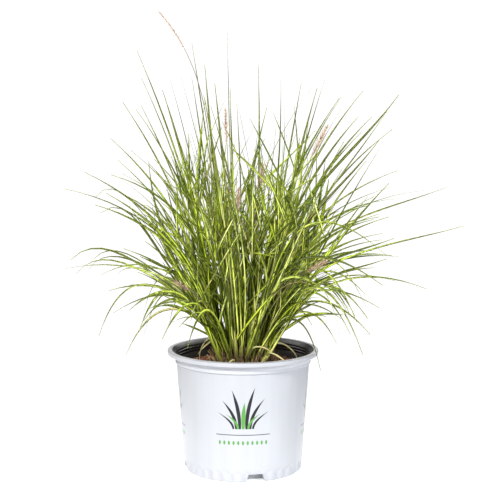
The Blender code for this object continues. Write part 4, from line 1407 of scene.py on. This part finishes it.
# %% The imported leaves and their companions
COMPANIONS = 3
WIDEST = 0.0023
PACKED_WIDTH = WIDEST * 0.82
PACKED_TURN = (0.6, 1.35)
COMPANION_WIDTH = WIDEST * 0.9
SHORTEST_COMPANION = 0.42
WIDE_TIPS = (0.14, 0.22)
WIDE_SHARES = (0.95, 0.68)
BETWEEN = (0.1, 0.9)
FOOT_AWAY = (0.001, 0.009)
FEET_WITHIN = 0.045
FAN = 0.012
FAN_POWER = 1.4
DROOP = 0.012


def packed_leaves(shoot):
    """The leading leaf and each side leaf of a packed shoot, at this lesson's finer spacing."""
    yield smooth_line(np.vstack([shoot.root, shoot.lead]), BLADE_SHARES)
    for level, leaf in sorted(shoot.side_leaves.items()):
        line = smooth_line(np.vstack([shoot.side_start(level), leaf.points]), BLADE_SHARES)
        lift = COLLAR_LIFT * np.interp(BLADE_SHARES, SIDE_SHARES, SIDE_LIFTS)
        yield line + shoot.face_normal(level, leaf.face) * lift[:, None]


def part_of(line, shares):
    """Places at these shares of a leaf's line."""
    return np.stack([np.interp(shares, BLADE_SHARES, line[:, axis]) for axis in range(3)], axis=1)


def companion_line(shoot, lines):
    """A leaf that stands between two leaves of its shoot and stops short of their tips."""
    first, second = looks.sample(lines, 2) if len(lines) > 1 else (lines[0], lines[0])
    lean = looks.uniform(*BETWEEN)
    longest = np.interp(np.hypot(*lines[0][-1][:2]), WIDE_TIPS, WIDE_SHARES)
    length = looks.uniform(SHORTEST_COMPANION, longest)
    line = part_of(first * lean + second * (1 - lean), BLADE_SHARES * length)
    angle = looks.uniform(0, 2 * math.pi)
    away = np.array((math.cos(angle), math.sin(angle))) * looks.uniform(*FOOT_AWAY)
    spot = shoot.root[:2] + away
    spot *= min(1, FEET_WITHIN / np.linalg.norm(spot))
    foot = np.array((*spot, crown_top(np.linalg.norm(spot))))
    settle = (foot - line[0])[:, None] * (1 - BLADE_SHARES) ** 2
    fan = np.array([looks.gauss(0, 1), looks.gauss(0, 1), looks.gauss(0, 0.5)]) * FAN
    line = line + settle.T + fan * BLADE_SHARES[:, None] ** FAN_POWER
    line[:, 2] -= looks.uniform(0, DROOP) * BLADE_SHARES ** 3
    return line


shoot_lines = [list(packed_leaves(shoot)) for shoot in shoots]
shoot_blades = []
for shoot, lines in zip(shoots, shoot_lines):
    shoot_blades.append([random_blade(line, PACKED_WIDTH, PACKED_TURN) for line in lines])
    for _ in range(COMPANIONS):
        line = companion_line(shoot, lines)
        if clear_of_pot(line[1:]):
            shoot_blades[-1].append(random_blade(line, COMPANION_WIDTH))
print("packed leaves and companions:", sum(map(len, shoot_blades)))

# %% Short crossing leaves
# Where such a leaf may start along its long one, its widest angle and its longest length
Way = collections.namedtuple("Way", "start widest_angle longest")
CROSSING = 6
CROSSING_WIDTH = WIDEST * 0.8
CROSSING_WAY = Way((0.02, 0.50), 46, 0.165)
TRIES_EACH = 4
NARROWEST_ANGLE = 8
SHORTEST = 0.055
AHEAD = 0.05
BODY_HEIGHTS = (0.185, 0.215, 0.250, 0.300, 0.370, 0.440, 0.520, 0.600, 0.640)
BODY_RADII = (0.060, 0.095, 0.135, 0.160, 0.165, 0.150, 0.125, 0.085, 0.020)


def inside_body(line):
    """True where the line stays in the dense middle of the clump."""
    radius = np.hypot(line[:, 0], line[:, 1])
    return bool((radius < np.interp(line[:, 2], BODY_HEIGHTS, BODY_RADII)).all())


def crossing_line(line, way):
    """A short leaf that leaves a longer one at an angle, then bends over a little."""
    share = looks.uniform(*way.start)
    start, ahead = part_of(line, [share, share + AHEAD])
    tangent = (ahead - start) / np.linalg.norm(ahead - start)
    angle = looks.uniform(0, 2 * math.pi)
    side = np.cross(tangent, (math.cos(angle), math.sin(angle), 0.2))
    side /= np.linalg.norm(side)
    opening = math.radians(looks.uniform(NARROWEST_ANGLE, way.widest_angle))
    away = tangent * math.cos(opening) + side * math.sin(opening)
    bent = away + np.array((0, 0, -looks.uniform(-0.1, 0.5))) + side * 0.3
    length = looks.uniform(SHORTEST, way.longest)
    steps = BLADE_SHARES[:, None]
    return start + (away * steps * 0.75 + bent * steps ** 2 * 0.3) * length


for lines, blades in zip(shoot_lines, shoot_blades):
    wanted = len(blades) + CROSSING
    for _ in range(CROSSING * TRIES_EACH):
        line = crossing_line(looks.choice(lines), CROSSING_WAY)
        if len(blades) < wanted and inside_body(line) and clear_of_pot(line):
            blades.append(random_blade(line, CROSSING_WIDTH))
print("leaves with the crossing ones:", sum(map(len, shoot_blades)))

# %% Thin leaves high in the clump
HIGH_UP = 10
HIGH_TIP = 0.40
HIGH_START = (0.34, 0.49)
HIGHEST_SHARE = 0.85
HIGH_WIDTH = WIDEST * 0.55

for lines, blades in zip(shoot_lines, shoot_blades):
    tall = [line for line in lines if line[-1][2] > HIGH_TIP]
    wanted = len(blades) + HIGH_UP
    for _ in range(HIGH_UP * TRIES_EACH if tall else 0):
        line = looks.choice(tall)
        lowest, highest = np.interp(HIGH_START, line[:, 2], BLADE_SHARES)
        line = crossing_line(line, Way((lowest, min(highest, HIGHEST_SHARE)), 50, 0.16))
        if len(blades) < wanted and inside_body(line):
            blades.append(random_blade(line, HIGH_WIDTH))
print("leaves in all:", sum(map(len, shoot_blades)))

# %% [markdown]
# ### From guides to blades
# The tree turns the chains into curves, turns each one by its own width directions, and sweeps
# a four-sided section along it. A section's first axis follows a curve's normal, so the normal
# is the direction of the leaf's width. The section's corners are inputs, so that one tree can
# make flat and folded leaves. Where a point lies along and across its leaf is kept for colour.

# %% Guides with attributes


def guide_chains(name, chains, **attributes):
    """An object whose edges are chains of points, with an attribute for each value along them."""
    edges, start = [], 0
    for chain in chains:
        edges += [(start + k, start + k + 1) for k in range(len(chain) - 1)]
        start += len(chain)
    guides = new_piece(name, np.vstack(chains), edges=edges)
    for label, values in attributes.items():
        values = np.concatenate(values).astype(np.float32)
        kind, field = ("FLOAT_VECTOR", "vector") if values.ndim == 2 else ("FLOAT", "value")
        layer = guides.data.attributes.new(label, kind, "POINT")
        layer.data.foreach_set(field, values.ravel())
    return guides


# %% The sweeping tree


def sweep_recipe():
    sweep = Recipe("sweep_blades", Fold="number", Keel="number", Groove="number",
                   Material="material")
    fold, keel, groove = (sweep.input(label) for label in ("Fold", "Keel", "Groove"))
    ends = enumerate(((-1.0, fold), (0.0, keel * -1), (1.0, fold), (0.0, groove)), 1)
    corners = {f"Point {number}": sweep.node("ShaderNodeCombineXYZ", None, {0: across, 1: up})
               for number, (across, up) in ends}
    section = sweep.node("GeometryNodeCurvePrimitiveQuadrilateral", {"mode": "POINTS"}, corners)
    across = sweep.parts(sweep.node("GeometryNodeInputPosition"))[0]
    section = sweep.node("GeometryNodeStoreNamedAttribute", None, {
        "Geometry": section, "Name": "across", "Value": across})
    chains = sweep.node("GeometryNodeMeshToCurve", None, {"Mesh": sweep.input("Geometry")})
    faced = sweep.node("GeometryNodeSetCurveNormal", {"mode": "FREE"}, {
        "Curve": chains, "Normal": sweep.attribute("widthways", "FLOAT_VECTOR")})
    placed = sweep.node("GeometryNodeStoreNamedAttribute", None, {
        "Geometry": faced, "Name": "along", "Value": sweep.node("GeometryNodeSplineParameter")})
    sweep.close(sweep.node("GeometryNodeCurveToMesh", None, {
        "Curve": placed, "Profile Curve": section, "Scale": sweep.attribute("half_width"),
        "Fill Caps": True}))
    return sweep


sweep_blades = sweep_recipe()
FOLD, KEEL, GROOVE = 0.32, 0.20, 0.02


def sweep_bundle(name, bundle, material):
    guides = guide_chains(
        name, [blade.line for blade in bundle],
        half_width=[blade.half_widths for blade in bundle],
        widthways=[blade.widthways for blade in bundle],
        tone=[np.full(BLADE_POINTS, blade.tone) for blade in bundle])
    return sweep_blades.grow(guides, Fold=FOLD, Keel=KEEL, Groove=GROOVE, Material=material)


# %% [markdown]
# ### The colour of a leaf
# Old leaves are dark olive, young ones yellow-green, and a few have gone to straw or brown.
# That choice is made once for each leaf by its tone. Along a leaf the foot is pale and the tip
# dries out. Across it the margins and one side of the fold are darker, a painted shade of the
# folded leaf, and a light midrib runs between fine parallel veins. Leaves darken as they reach
# out of the clump, partly older leaf ends and partly painted shade against the brighter light
# there. Low in the middle a dark brown band is partly old brown tufts and partly painted shade
# at the clump's foot. A leaf is thin enough for light to pass through it, which subsurface
# scattering shows: without it the shaded side of the clump would turn grey.

# %% Leaf green
# A leaf darkens with its reach out of the clump, partly painted shade. Its rise counts in that reach
# by this share
RISE_SHARE = 0.72


def old_growth_and_painted_shade(paint, where):
    """Low in the middle of the crown, a band narrow from side to side that turns dark brown: partly
    the oldest tufts, gone brown, and partly painted shade at the clump's foot.
    """
    x, _, z = paint.parts(where)
    return (1 - (x + 0.006).math("ABSOLUTE").step(0.010, 0.022)) * (1 - z.step(0.188, 0.222))


def leaf_paint():
    leaf = Finish("grass_blade", Specular_IOR_Level=0.25, Subsurface_Weight=0.75,
                  Subsurface_Radius=(0.8, 1.0, 0.3), Subsurface_Scale=0.0007)
    where = leaf.place()
    along, across, tone = (leaf.attribute(label) for label in ("along", "across", "tone"))
    streak = leaf.noise(where, 140, 3, (1, 1, 0.12))
    mottle = leaf.noise(where, 700, 2)
    colour = leaf.ramp(
        tone, (0.00, (0.030, 0.042, 0.001)), (0.22, (0.070, 0.100, 0.002)),
        (0.32, (0.560, 0.720, 0.020)), (0.55, (0.800, 0.980, 0.110)),
        (0.90, (0.850, 0.960, 0.300)), (0.96, (0.700, 0.600, 0.260)), (1.00, (0.140, 0.070, 0.040)))
    foot = 1 - along.step(0.0, 0.3)
    colour = leaf.blend(foot * 0.35, colour, (0.700, 0.780, 0.080))
    # Partly old brown tufts, partly painted shade: a band low in the middle of the clump turns dark
    # brown.
    colour = leaf.blend(old_growth_and_painted_shade(leaf, where) * 0.8, colour, (0.090, 0.060, 0.016))
    x, y, z = leaf.parts(where)
    rise = (z - CROWN_EDGE_HEIGHT) * RISE_SHARE
    reach = (x * x + y * y + rise * rise).math("SQRT")
    # Partly painted shade: leaves darken as they reach out of the clump, older leaf ends there and
    # shade painted against the brighter light.
    colour = leaf.blend(reach.step(0.20, 0.33) * 0.9, colour, (0.036, 0.058, 0.005))
    dried = (along + streak * 0.6 - 0.3).step(0.5, 0.85)
    colour = leaf.blend(dried * 0.9, colour, (0.030, 0.035, 0.002))
    colour = leaf.blend(along.step(0.80, 1.0) * 0.7, colour, (0.060, 0.040, 0.020))
    colour = leaf.blend(streak.step(0.46, 0.62) * 0.55, colour, (0.050, 0.075, 0.003))
    # Painted shade: the leaf's margins and one side of its fold are darkened as if turned from the
    # light.
    painted_margin_shade = across.math("ABSOLUTE").step(0.65, 0.95)
    colour = leaf.blend(painted_margin_shade * 0.7, colour, (0.012, 0.018, 0.001))
    colour = leaf.blend((across * 5.0).clipped() * 0.75, colour, (0.025, 0.036, 0.001))
    rib = (1 - across.math("ABSOLUTE") * 4.5).clipped()
    colour = leaf.blend(rib * 0.4, colour, (0.62, 0.66, 0.20))
    veins = (across * 22.0).math("SINE") * 0.5 + 0.5
    rough = 0.28 + mottle * 0.14 + veins * 0.06
    grain = leaf.bump(veins + mottle * 0.4, 0.0002, 0.35)
    return leaf.finish(Base_Color=colour, Roughness=rough, Normal=grain)


# %% Sweeping all the leaves
BUNDLES = 5
leaf_green = leaf_paint()

for number in range(BUNDLES):
    bundle = [blade for blades in shoot_blades[number::BUNDLES] for blade in blades]
    piece = sweep_bundle(f"leaves_{number + 1}", bundle, leaf_green)
    nodes = [f"shoot_{index + 1:02d}" for index in range(number, len(shoots), BUNDLES)]
    hand_in(piece, "grass_leaf", *nodes)

# %% [markdown]
# ## Sheaths
# The foot of every shoot is a stack of leaf sheaths, each rolled round the next, so it is a
# tube and not a blade. Some sheaths are green, some straw, and all turn brown where they meet
# the crown. The same guides carry them, with a round section that thins upwards.

# %% A tree for tubes
SHEATH_POINTS = 9


def tube_recipe(name):
    roll = Recipe(name, Sides="count", Material="material")
    section = roll.node("GeometryNodeCurvePrimitiveCircle", None, {
        "Resolution": roll.input("Sides"), "Radius": 1.0})
    chains = roll.node("GeometryNodeMeshToCurve", None, {"Mesh": roll.input("Geometry")})
    along = roll.node("GeometryNodeStoreNamedAttribute", None, {
        "Geometry": chains, "Name": "along", "Value": roll.node("GeometryNodeSplineParameter")})
    roll.close(roll.node("GeometryNodeCurveToMesh", None, {
        "Curve": along, "Profile Curve": section, "Scale": roll.attribute("half_width"),
        "Fill Caps": True}))
    return roll


# %% Sheath colour


def sheath_paint():
    sheath = Finish("leaf_sheath", Specular_IOR_Level=0.45)
    where = sheath.place()
    tone = sheath.attribute("tone")
    fibre = sheath.noise(where, 900, 3, (1, 1, 0.08))
    height = sheath.parts(where)[2]
    colour = sheath.ramp(
        tone, (0.0, (0.040, 0.030, 0.012)), (0.25, (0.090, 0.120, 0.010)),
        (0.5, (0.300, 0.380, 0.035)), (0.85, (0.620, 0.680, 0.120)), (1.0, (0.720, 0.640, 0.300)))
    brown = (1 - height.step(0.172, 0.205)) * 0.85
    colour = sheath.blend(brown, colour, (0.070, 0.032, 0.014))
    # Partly old brown tufts, partly painted shade at the clump's foot, as on the leaves.
    colour = sheath.blend(old_growth_and_painted_shade(sheath, where) * 0.85, colour, (0.045, 0.025, 0.012))
    colour = sheath.blend(fibre.step(0.5, 0.8) * 0.4, colour, (0.110, 0.120, 0.020))
    grain = sheath.bump(fibre, 0.0003, 0.5)
    return sheath.finish(Base_Color=colour, Roughness=0.42 + fibre * 0.2, Normal=grain)


# %% Rolling the sheaths
LONGEST_SHEATH_SHARE = 0.4
SHEATH_LENGTHS = (0.04, 0.11)
SHEATH_FEET = (0.0012, 0.0020)
SHEATH_TOP = 0.0010
SHEATH_END = 0.0005


def sheath_chains():
    """A tube up the foot of each leaf that starts on the crown."""
    for blade in (blade for blades in shoot_blades for blade in blades):
        if blade.line[0][2] < CROWN_EDGE_HEIGHT + CROWN_DOME + 0.001:
            length = np.linalg.norm(np.diff(blade.line, axis=0), axis=1).sum()
            reach = min(LONGEST_SHEATH_SHARE, looks.uniform(*SHEATH_LENGTHS) / length)
            line = part_of(blade.line, np.linspace(0, reach, SHEATH_POINTS))
            thick = np.linspace(looks.uniform(*SHEATH_FEET), SHEATH_TOP, SHEATH_POINTS)
            thick[-1] = SHEATH_END
            yield line, thick, np.full(SHEATH_POINTS, looks.random())


lines, widths, tones = zip(*sheath_chains())
sheaths = guide_chains("leaf_sheaths", lines, half_width=widths, tone=tones)
tube_recipe("roll_sheaths").grow(sheaths, Sides=7, Material=sheath_paint())
hand_in(sheaths, "grass_leaf")

# %% [markdown]
# ## The crown
# Shoots rise from a woody crown, a low dome of old leaf bases packed with dead fibre. The dome
# is turned, and short dry stubs are scattered over it and left to point up and outwards.

# %% Old leaf bases


def crown_paint():
    paint = Finish("old_leaf_bases", Specular_IOR_Level=0.25)
    where = paint.place()
    fibre = paint.noise(where, 420, 5, (1, 1, 0.2))
    tone = paint.attribute("tone")
    colour = paint.ramp(fibre, (0.3, (0.012, 0.006, 0.004)), (0.6, (0.060, 0.028, 0.013)),
                        (0.8, (0.150, 0.085, 0.040)))
    colour = paint.blend(tone * tone * 0.7, colour, (0.360, 0.260, 0.120))
    grain = paint.bump(fibre, 0.0008, 0.8)
    return paint.finish(Base_Color=colour, Roughness=0.75 + fibre * 0.2, Normal=grain)


old_bases = crown_paint()
dome_radii = [CROWN_RADIUS * share for share in np.linspace(1, 0.08, 14)]
dome_rings = [(radius, crown_top(radius)) for radius in dome_radii]
dome_profile = [(0, CROWN_BOTTOM), (CROWN_RADIUS, CROWN_BOTTOM), *dome_rings, (0, crown_top(0))]
crown = turned("crown_dome", dome_profile, 96, old_bases)
dome_rng = np.random.default_rng(8)
for vertex in crown.data.vertices:
    if vertex.co.z > CROWN_EDGE_HEIGHT - 0.001:
        vertex.co.z += dome_rng.normal(0, 0.0005)
shade_round(crown, 60)
hand_in(crown, "grass_crown", "crown")

# %% Dry stubs on the crown


def stub_recipe():
    stubs = Recipe("stand_stubs", Density="number", Length="number", Floor="number", Seed="count",
                   Material="material")
    x, y, z = stubs.parts(stubs.node("GeometryNodeInputPosition"))
    spots = stubs.spots(z.math("GREATER_THAN", stubs.input("Floor")))
    cone = stubs.node("GeometryNodeMeshCone", {"fill_type": "TRIANGLE_FAN"}, {
        "Vertices": 6, "Side Segments": 2, "Radius Top": 0.4, "Radius Bottom": 1.0, "Depth": 1.0})
    lean = stubs.node("ShaderNodeCombineXYZ", None, {0: y * -9.0, 1: x * 9.0})
    jitter = stubs.random((-0.35, -0.35, 0.0), (0.35, 0.35, 6.28), 1, "FLOAT_VECTOR")
    turn = stubs.node("ShaderNodeVectorMath", {"operation": "ADD"}, {0: lean, 1: jitter})
    girth = stubs.random(0.0006, 0.0017, 2)
    tall = stubs.random(0.2, 1.0, 3) * stubs.input("Length")
    size = stubs.node("ShaderNodeCombineXYZ", None, {0: girth, 1: girth * 0.5, 2: tall})
    stubs.stand(spots, cone, turn, size, 4)
    return stubs


stubble = new_piece("crown_stubble", [])
stubble.data = crown.data.copy()
stub_recipe().grow(
    stubble, Density=110000.0, Length=0.030, Floor=CROWN_EDGE_HEIGHT - 0.0005, Seed=3,
    Material=old_bases)
hand_in(stubble, "grass_crown")

# %% [markdown]
# ## Flowering stems and plumes
# A plume is a bottle brush: short spikelets packed round the stem's end, each with a few fine
# bristles longer than itself. They repeat round a path, so a tree turns the path into points
# and stands a cone on each, tilted off the stem and spun round it at random.

# %% Stems
STEM_FINE_POINTS = 40
STEM_THINS = (1.25, 0.42)


def stem_chains():
    """Each stem's line and half widths, then the length and radius of its plume."""
    foot, tip = (STEM_RADIUS * share for share in STEM_THINS)
    for line, (points, length, radius) in zip(stem_lines, FLOWER_STEMS):
        fine = smooth_line(np.vstack([line[0], points]), np.linspace(0, 1, STEM_FINE_POINTS))
        yield fine, np.linspace(foot, tip, STEM_FINE_POINTS), length, radius


stem_colour = fibrous(
    "flower_stem", 0.4, "along",
    ((0.0, (0.260, 0.320, 0.050)), (0.45, (0.200, 0.200, 0.060)),
     (0.75, (0.150, 0.110, 0.070)), (1.0, (0.240, 0.170, 0.120))),
    fibre=(500, 3, (1, 1, 0.1)), streaks=(0.45, 0.8, 0.4), streak_colour=(0.090, 0.060, 0.050),
    rough=(0.45, 0.2), relief=(0.0002, 0.4))
stem_guides = list(stem_chains())
stems = guide_chains("flower_stems", [line for line, _, _, _ in stem_guides],
                     half_width=[width for _, width, _, _ in stem_guides])
tube_recipe("draw_stems").grow(stems, Sides=8, Material=stem_colour)
stem_nodes = [f"flower_stem_{number + 1}" for number in range(len(FLOWER_STEMS))]
hand_in(stems, "grass_flower", *stem_nodes)

# %% A brush along a path


def brush_recipe(name, sides):
    brush = Recipe(name, Count="count", Length="number", Thickness="number", Least="number",
                   Most="number", Seed="count", Material="material")
    chains = brush.node("GeometryNodeMeshToCurve", None, {"Mesh": brush.input("Geometry")})
    spots = brush.node("GeometryNodeCurveToPoints", {"mode": "COUNT"}, {
        "Curve": chains, "Count": brush.input("Count")})
    cone = brush.node("GeometryNodeMeshCone", {"fill_type": "TRIANGLE_FAN"}, {
        "Vertices": sides, "Radius Top": 0.15, "Radius Bottom": 1.0, "Depth": 1.0})
    tilt = brush.random(brush.input("Least"), brush.input("Most"), brush.input("Seed"))
    spin = brush.random(0.0, 6.2832, 11)
    lean = brush.node("FunctionNodeEulerToRotation", None, {
        0: brush.node("ShaderNodeCombineXYZ", None, {0: tilt, 2: spin})})
    aim = brush.node("FunctionNodeRotateRotation", {"rotation_space": "LOCAL"}, {
        0: spots.other("Rotation"), 1: lean})
    tall = brush.random(0.5, 1.2, 12) * brush.input("Length") * brush.attribute("swell")
    thick = brush.input("Thickness") * brush.random(0.8, 1.2, 13)
    size = brush.node("ShaderNodeCombineXYZ", None, {0: thick, 1: thick, 2: tall})
    brush.stand(spots, cone, aim, size, 14, smooth=False)
    return brush


# %% Bristles and spikelets
PLUME_POINTS = 14
FULLNESS = 0.45
SWELL = 0.75
SWELL_ARC = (0.12, 0.92)


def plume_axes():
    """The end of each stem that carries its plume, and how full the plume is along it."""
    for line, _, length, radius in stem_guides:
        reach = np.concatenate([[0], np.cumsum(np.linalg.norm(np.diff(line, axis=0), axis=1))])
        spots = np.linspace(reach[-1] - length, reach[-1] * 0.998, PLUME_POINTS)
        axis = np.stack([np.interp(spots, reach, line[:, k]) for k in range(3)], axis=1)
        fullness = FULLNESS + SWELL * np.sin(np.pi * np.linspace(*SWELL_ARC, PLUME_POINTS))
        yield axis, radius / FLOWER_STEMS[0][2] * fullness


plume_colour = fibrous(
    "plume_bristle", 0.3, "tone",
    ((0.0, (0.130, 0.065, 0.035)), (0.35, (0.390, 0.240, 0.155)),
     (0.7, (0.660, 0.490, 0.350)), (1.0, (0.780, 0.680, 0.570))),
    fibre=(800, 2), streaks=(0.4, 0.7, 0.4), streak_colour=(0.190, 0.105, 0.075),
    rough=(0.6, 0.25), relief=(0.0001, 0.3))
axes, swells = zip(*plume_axes())
bristles = guide_chains("plume_bristles", axes, swell=swells)
brush_recipe("set_bristles", 3).grow(
    bristles, Count=190, Length=0.0125, Thickness=0.00022, Least=0.25, Most=0.95, Seed=3,
    Material=plume_colour)
spikelets = guide_chains("plume_spikelets", axes, swell=swells)
brush_recipe("set_spikelets", 5).grow(
    spikelets, Count=52, Length=0.0068, Thickness=0.00075, Least=0.25, Most=0.85, Seed=9,
    Material=plume_colour)
hand_in(bristles, "grass_flower")
hand_in(spikelets, "grass_flower")

# %% [markdown]
# ## Dead leaves at the foot
# A few old leaves have dried to straw and curled back down on to the soil. They are swept by
# the same tree as the green ones, along given lines.

# %% Curled straw leaves
CURLS_MM = (
    ((-36, -22, 172), (-56, -40, 212), (-66, -52, 198), (-60, -60, 170)),
    ((34, -30, 172), (46, -50, 192), (62, -60, 184), (78, -58, 170)),
    ((-14, -44, 171), (-18, -66, 184), (-30, -78, 176), (-44, -82, 168)),
    ((10, -42, 188), (18, -56, 203), (30, -66, 205), (44, -72, 198)),
    ((40, 20, 171), (60, 28, 194), (78, 26, 184), (88, 14, 170)),
    ((-30, 34, 171), (-42, 56, 195), (-60, 66, 185), (-74, 60, 170)),
)
STRAW_WIDTH = 0.0016
STRAW_ROLL = 1.3
STRAW_TWIST = 0.6

straw_colour = fibrous(
    "straw_leaf", 0.35, "along",
    ((0.0, (0.330, 0.380, 0.070)), (0.4, (0.560, 0.550, 0.240)), (1.0, (0.410, 0.320, 0.160))),
    fibre=(600, 3, (1, 1, 0.2)), streaks=(0.45, 0.8, 0.5), streak_colour=(0.300, 0.220, 0.100),
    rough=(0.55, 0.2), relief=(0.0002, 0.4))
curl_lines = [smooth_line(np.array(points) / 1000, BLADE_SHARES) for points in CURLS_MM]
curls = [blade_on(line, STRAW_WIDTH, 0.5, STRAW_ROLL, STRAW_TWIST) for line in curl_lines]
hand_in(sweep_bundle("straw_leaves", curls, straw_colour), "grass_leaf")

# %% [markdown]
# ## Floor, light and air
# The pot stands on white in large soft lights. The floor is a pale disc that fades into the
# white air round it, so that it never ends in a grey edge, and it keeps a faint shadow under
# the pot. One broad light from the front left models the leaves and a weaker one from the
# right fills their shadows. Two more stand behind, and light the leaves' edges from both sides.

# %% Floor
FLOOR_REACH = 1.2
FLOOR_DROP = 0.0002
corners = [(x * FLOOR_REACH, y * FLOOR_REACH, -FLOOR_DROP)
           for x, y in ((-1, -1), (1, -1), (1, 1), (-1, 1))]
floor = new_piece("floor", corners, [(0, 1, 2, 3)])
pale = Finish("pale_floor", Roughness=0.9, Specular_IOR_Level=0.0, Emission_Strength=0.5,
              Emission_Color=(1, 1, 1, 1))
where = pale.place()
x, y, _ = pale.parts(where)
greys = pale.blend(pale.noise(where, 30, 2), (0.78, 0.78, 0.78), (0.82, 0.82, 0.82))
floor.data.materials.append(pale.finish(Base_Color=greys))
fade = ((x * x + y * y).math("SQRT")).step(0.25, 0.6)
clear = pale.node("ShaderNodeBsdfTransparent")
surface = Wire(pale, pale.shader.outputs[0])
whole = pale.node("ShaderNodeMixShader", None, {0: fade, 1: surface, 2: clear})
pale.feed(pale.tree.nodes["Material Output"].inputs["Surface"], whole)
floor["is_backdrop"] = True

# %% Lights


def soft_light(name, place, aim, size, watts, colour):
    lamp = bpy.data.objects.new(name, bpy.data.lights.new(name, "AREA"))
    lamp.data.shape = "DISK"
    lamp.data.size = size
    lamp.data.energy = watts
    lamp.data.color = colour
    lamp.location = place
    lamp.rotation_euler = (Vector(aim) - Vector(place)).to_track_quat("-Z", "Y").to_euler()
    bpy.context.scene.collection.objects.link(lamp)


soft_light("key", (-1.1, -2.1, 1.7), (0, 0, 0.3), 0.5, 110, (1.0, 0.99, 0.96))
soft_light("fill", (1.5, -1.9, 1.2), (0, 0, 0.2), 0.7, 50, (0.96, 0.98, 1.0))
soft_light("rim", (0.9, 1.7, 1.9), (0, 0, 0.4), 0.6, 38, (1.0, 1.0, 1.0))
soft_light("back", (-1.3, 1.2, 1.8), (0, 0, 0.4), 0.6, 28, (1.0, 1.0, 1.0))

# %% Air
AIR_LIGHT = 0.47
SEEN_AIR = 1.1
air = bpy.data.worlds.new("air")
bpy.context.scene.world = air
air.use_nodes = True
sky = Wiring(air.node_tree)
backdrop = air.node_tree.nodes["Background"]
backdrop.inputs["Color"].default_value = (1, 1, 1, 1)
seen = sky.node("ShaderNodeLightPath")
sky.feed(backdrop.inputs["Strength"], seen * (SEEN_AIR - AIR_LIGHT) + AIR_LIGHT)
bpy.context.scene.view_settings.view_transform = "Standard"
print("lights:", [o.name for o in bpy.data.objects if o.type == "LIGHT"])

# %% [markdown]
# ## Sizes
# Both boxes, the imported model's and the dressed plant's, are printed. The dressed plant has
# to keep inside the imported model's box.

# %% Both boxes
shown_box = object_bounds()
boxes = {"cad": [list(corner) for corner in cad_box], "visual": [list(corner) for corner in shown_box]}
for name, box in boxes.items():
    print(name, [[round(value, 3) for value in corner] for corner in box])
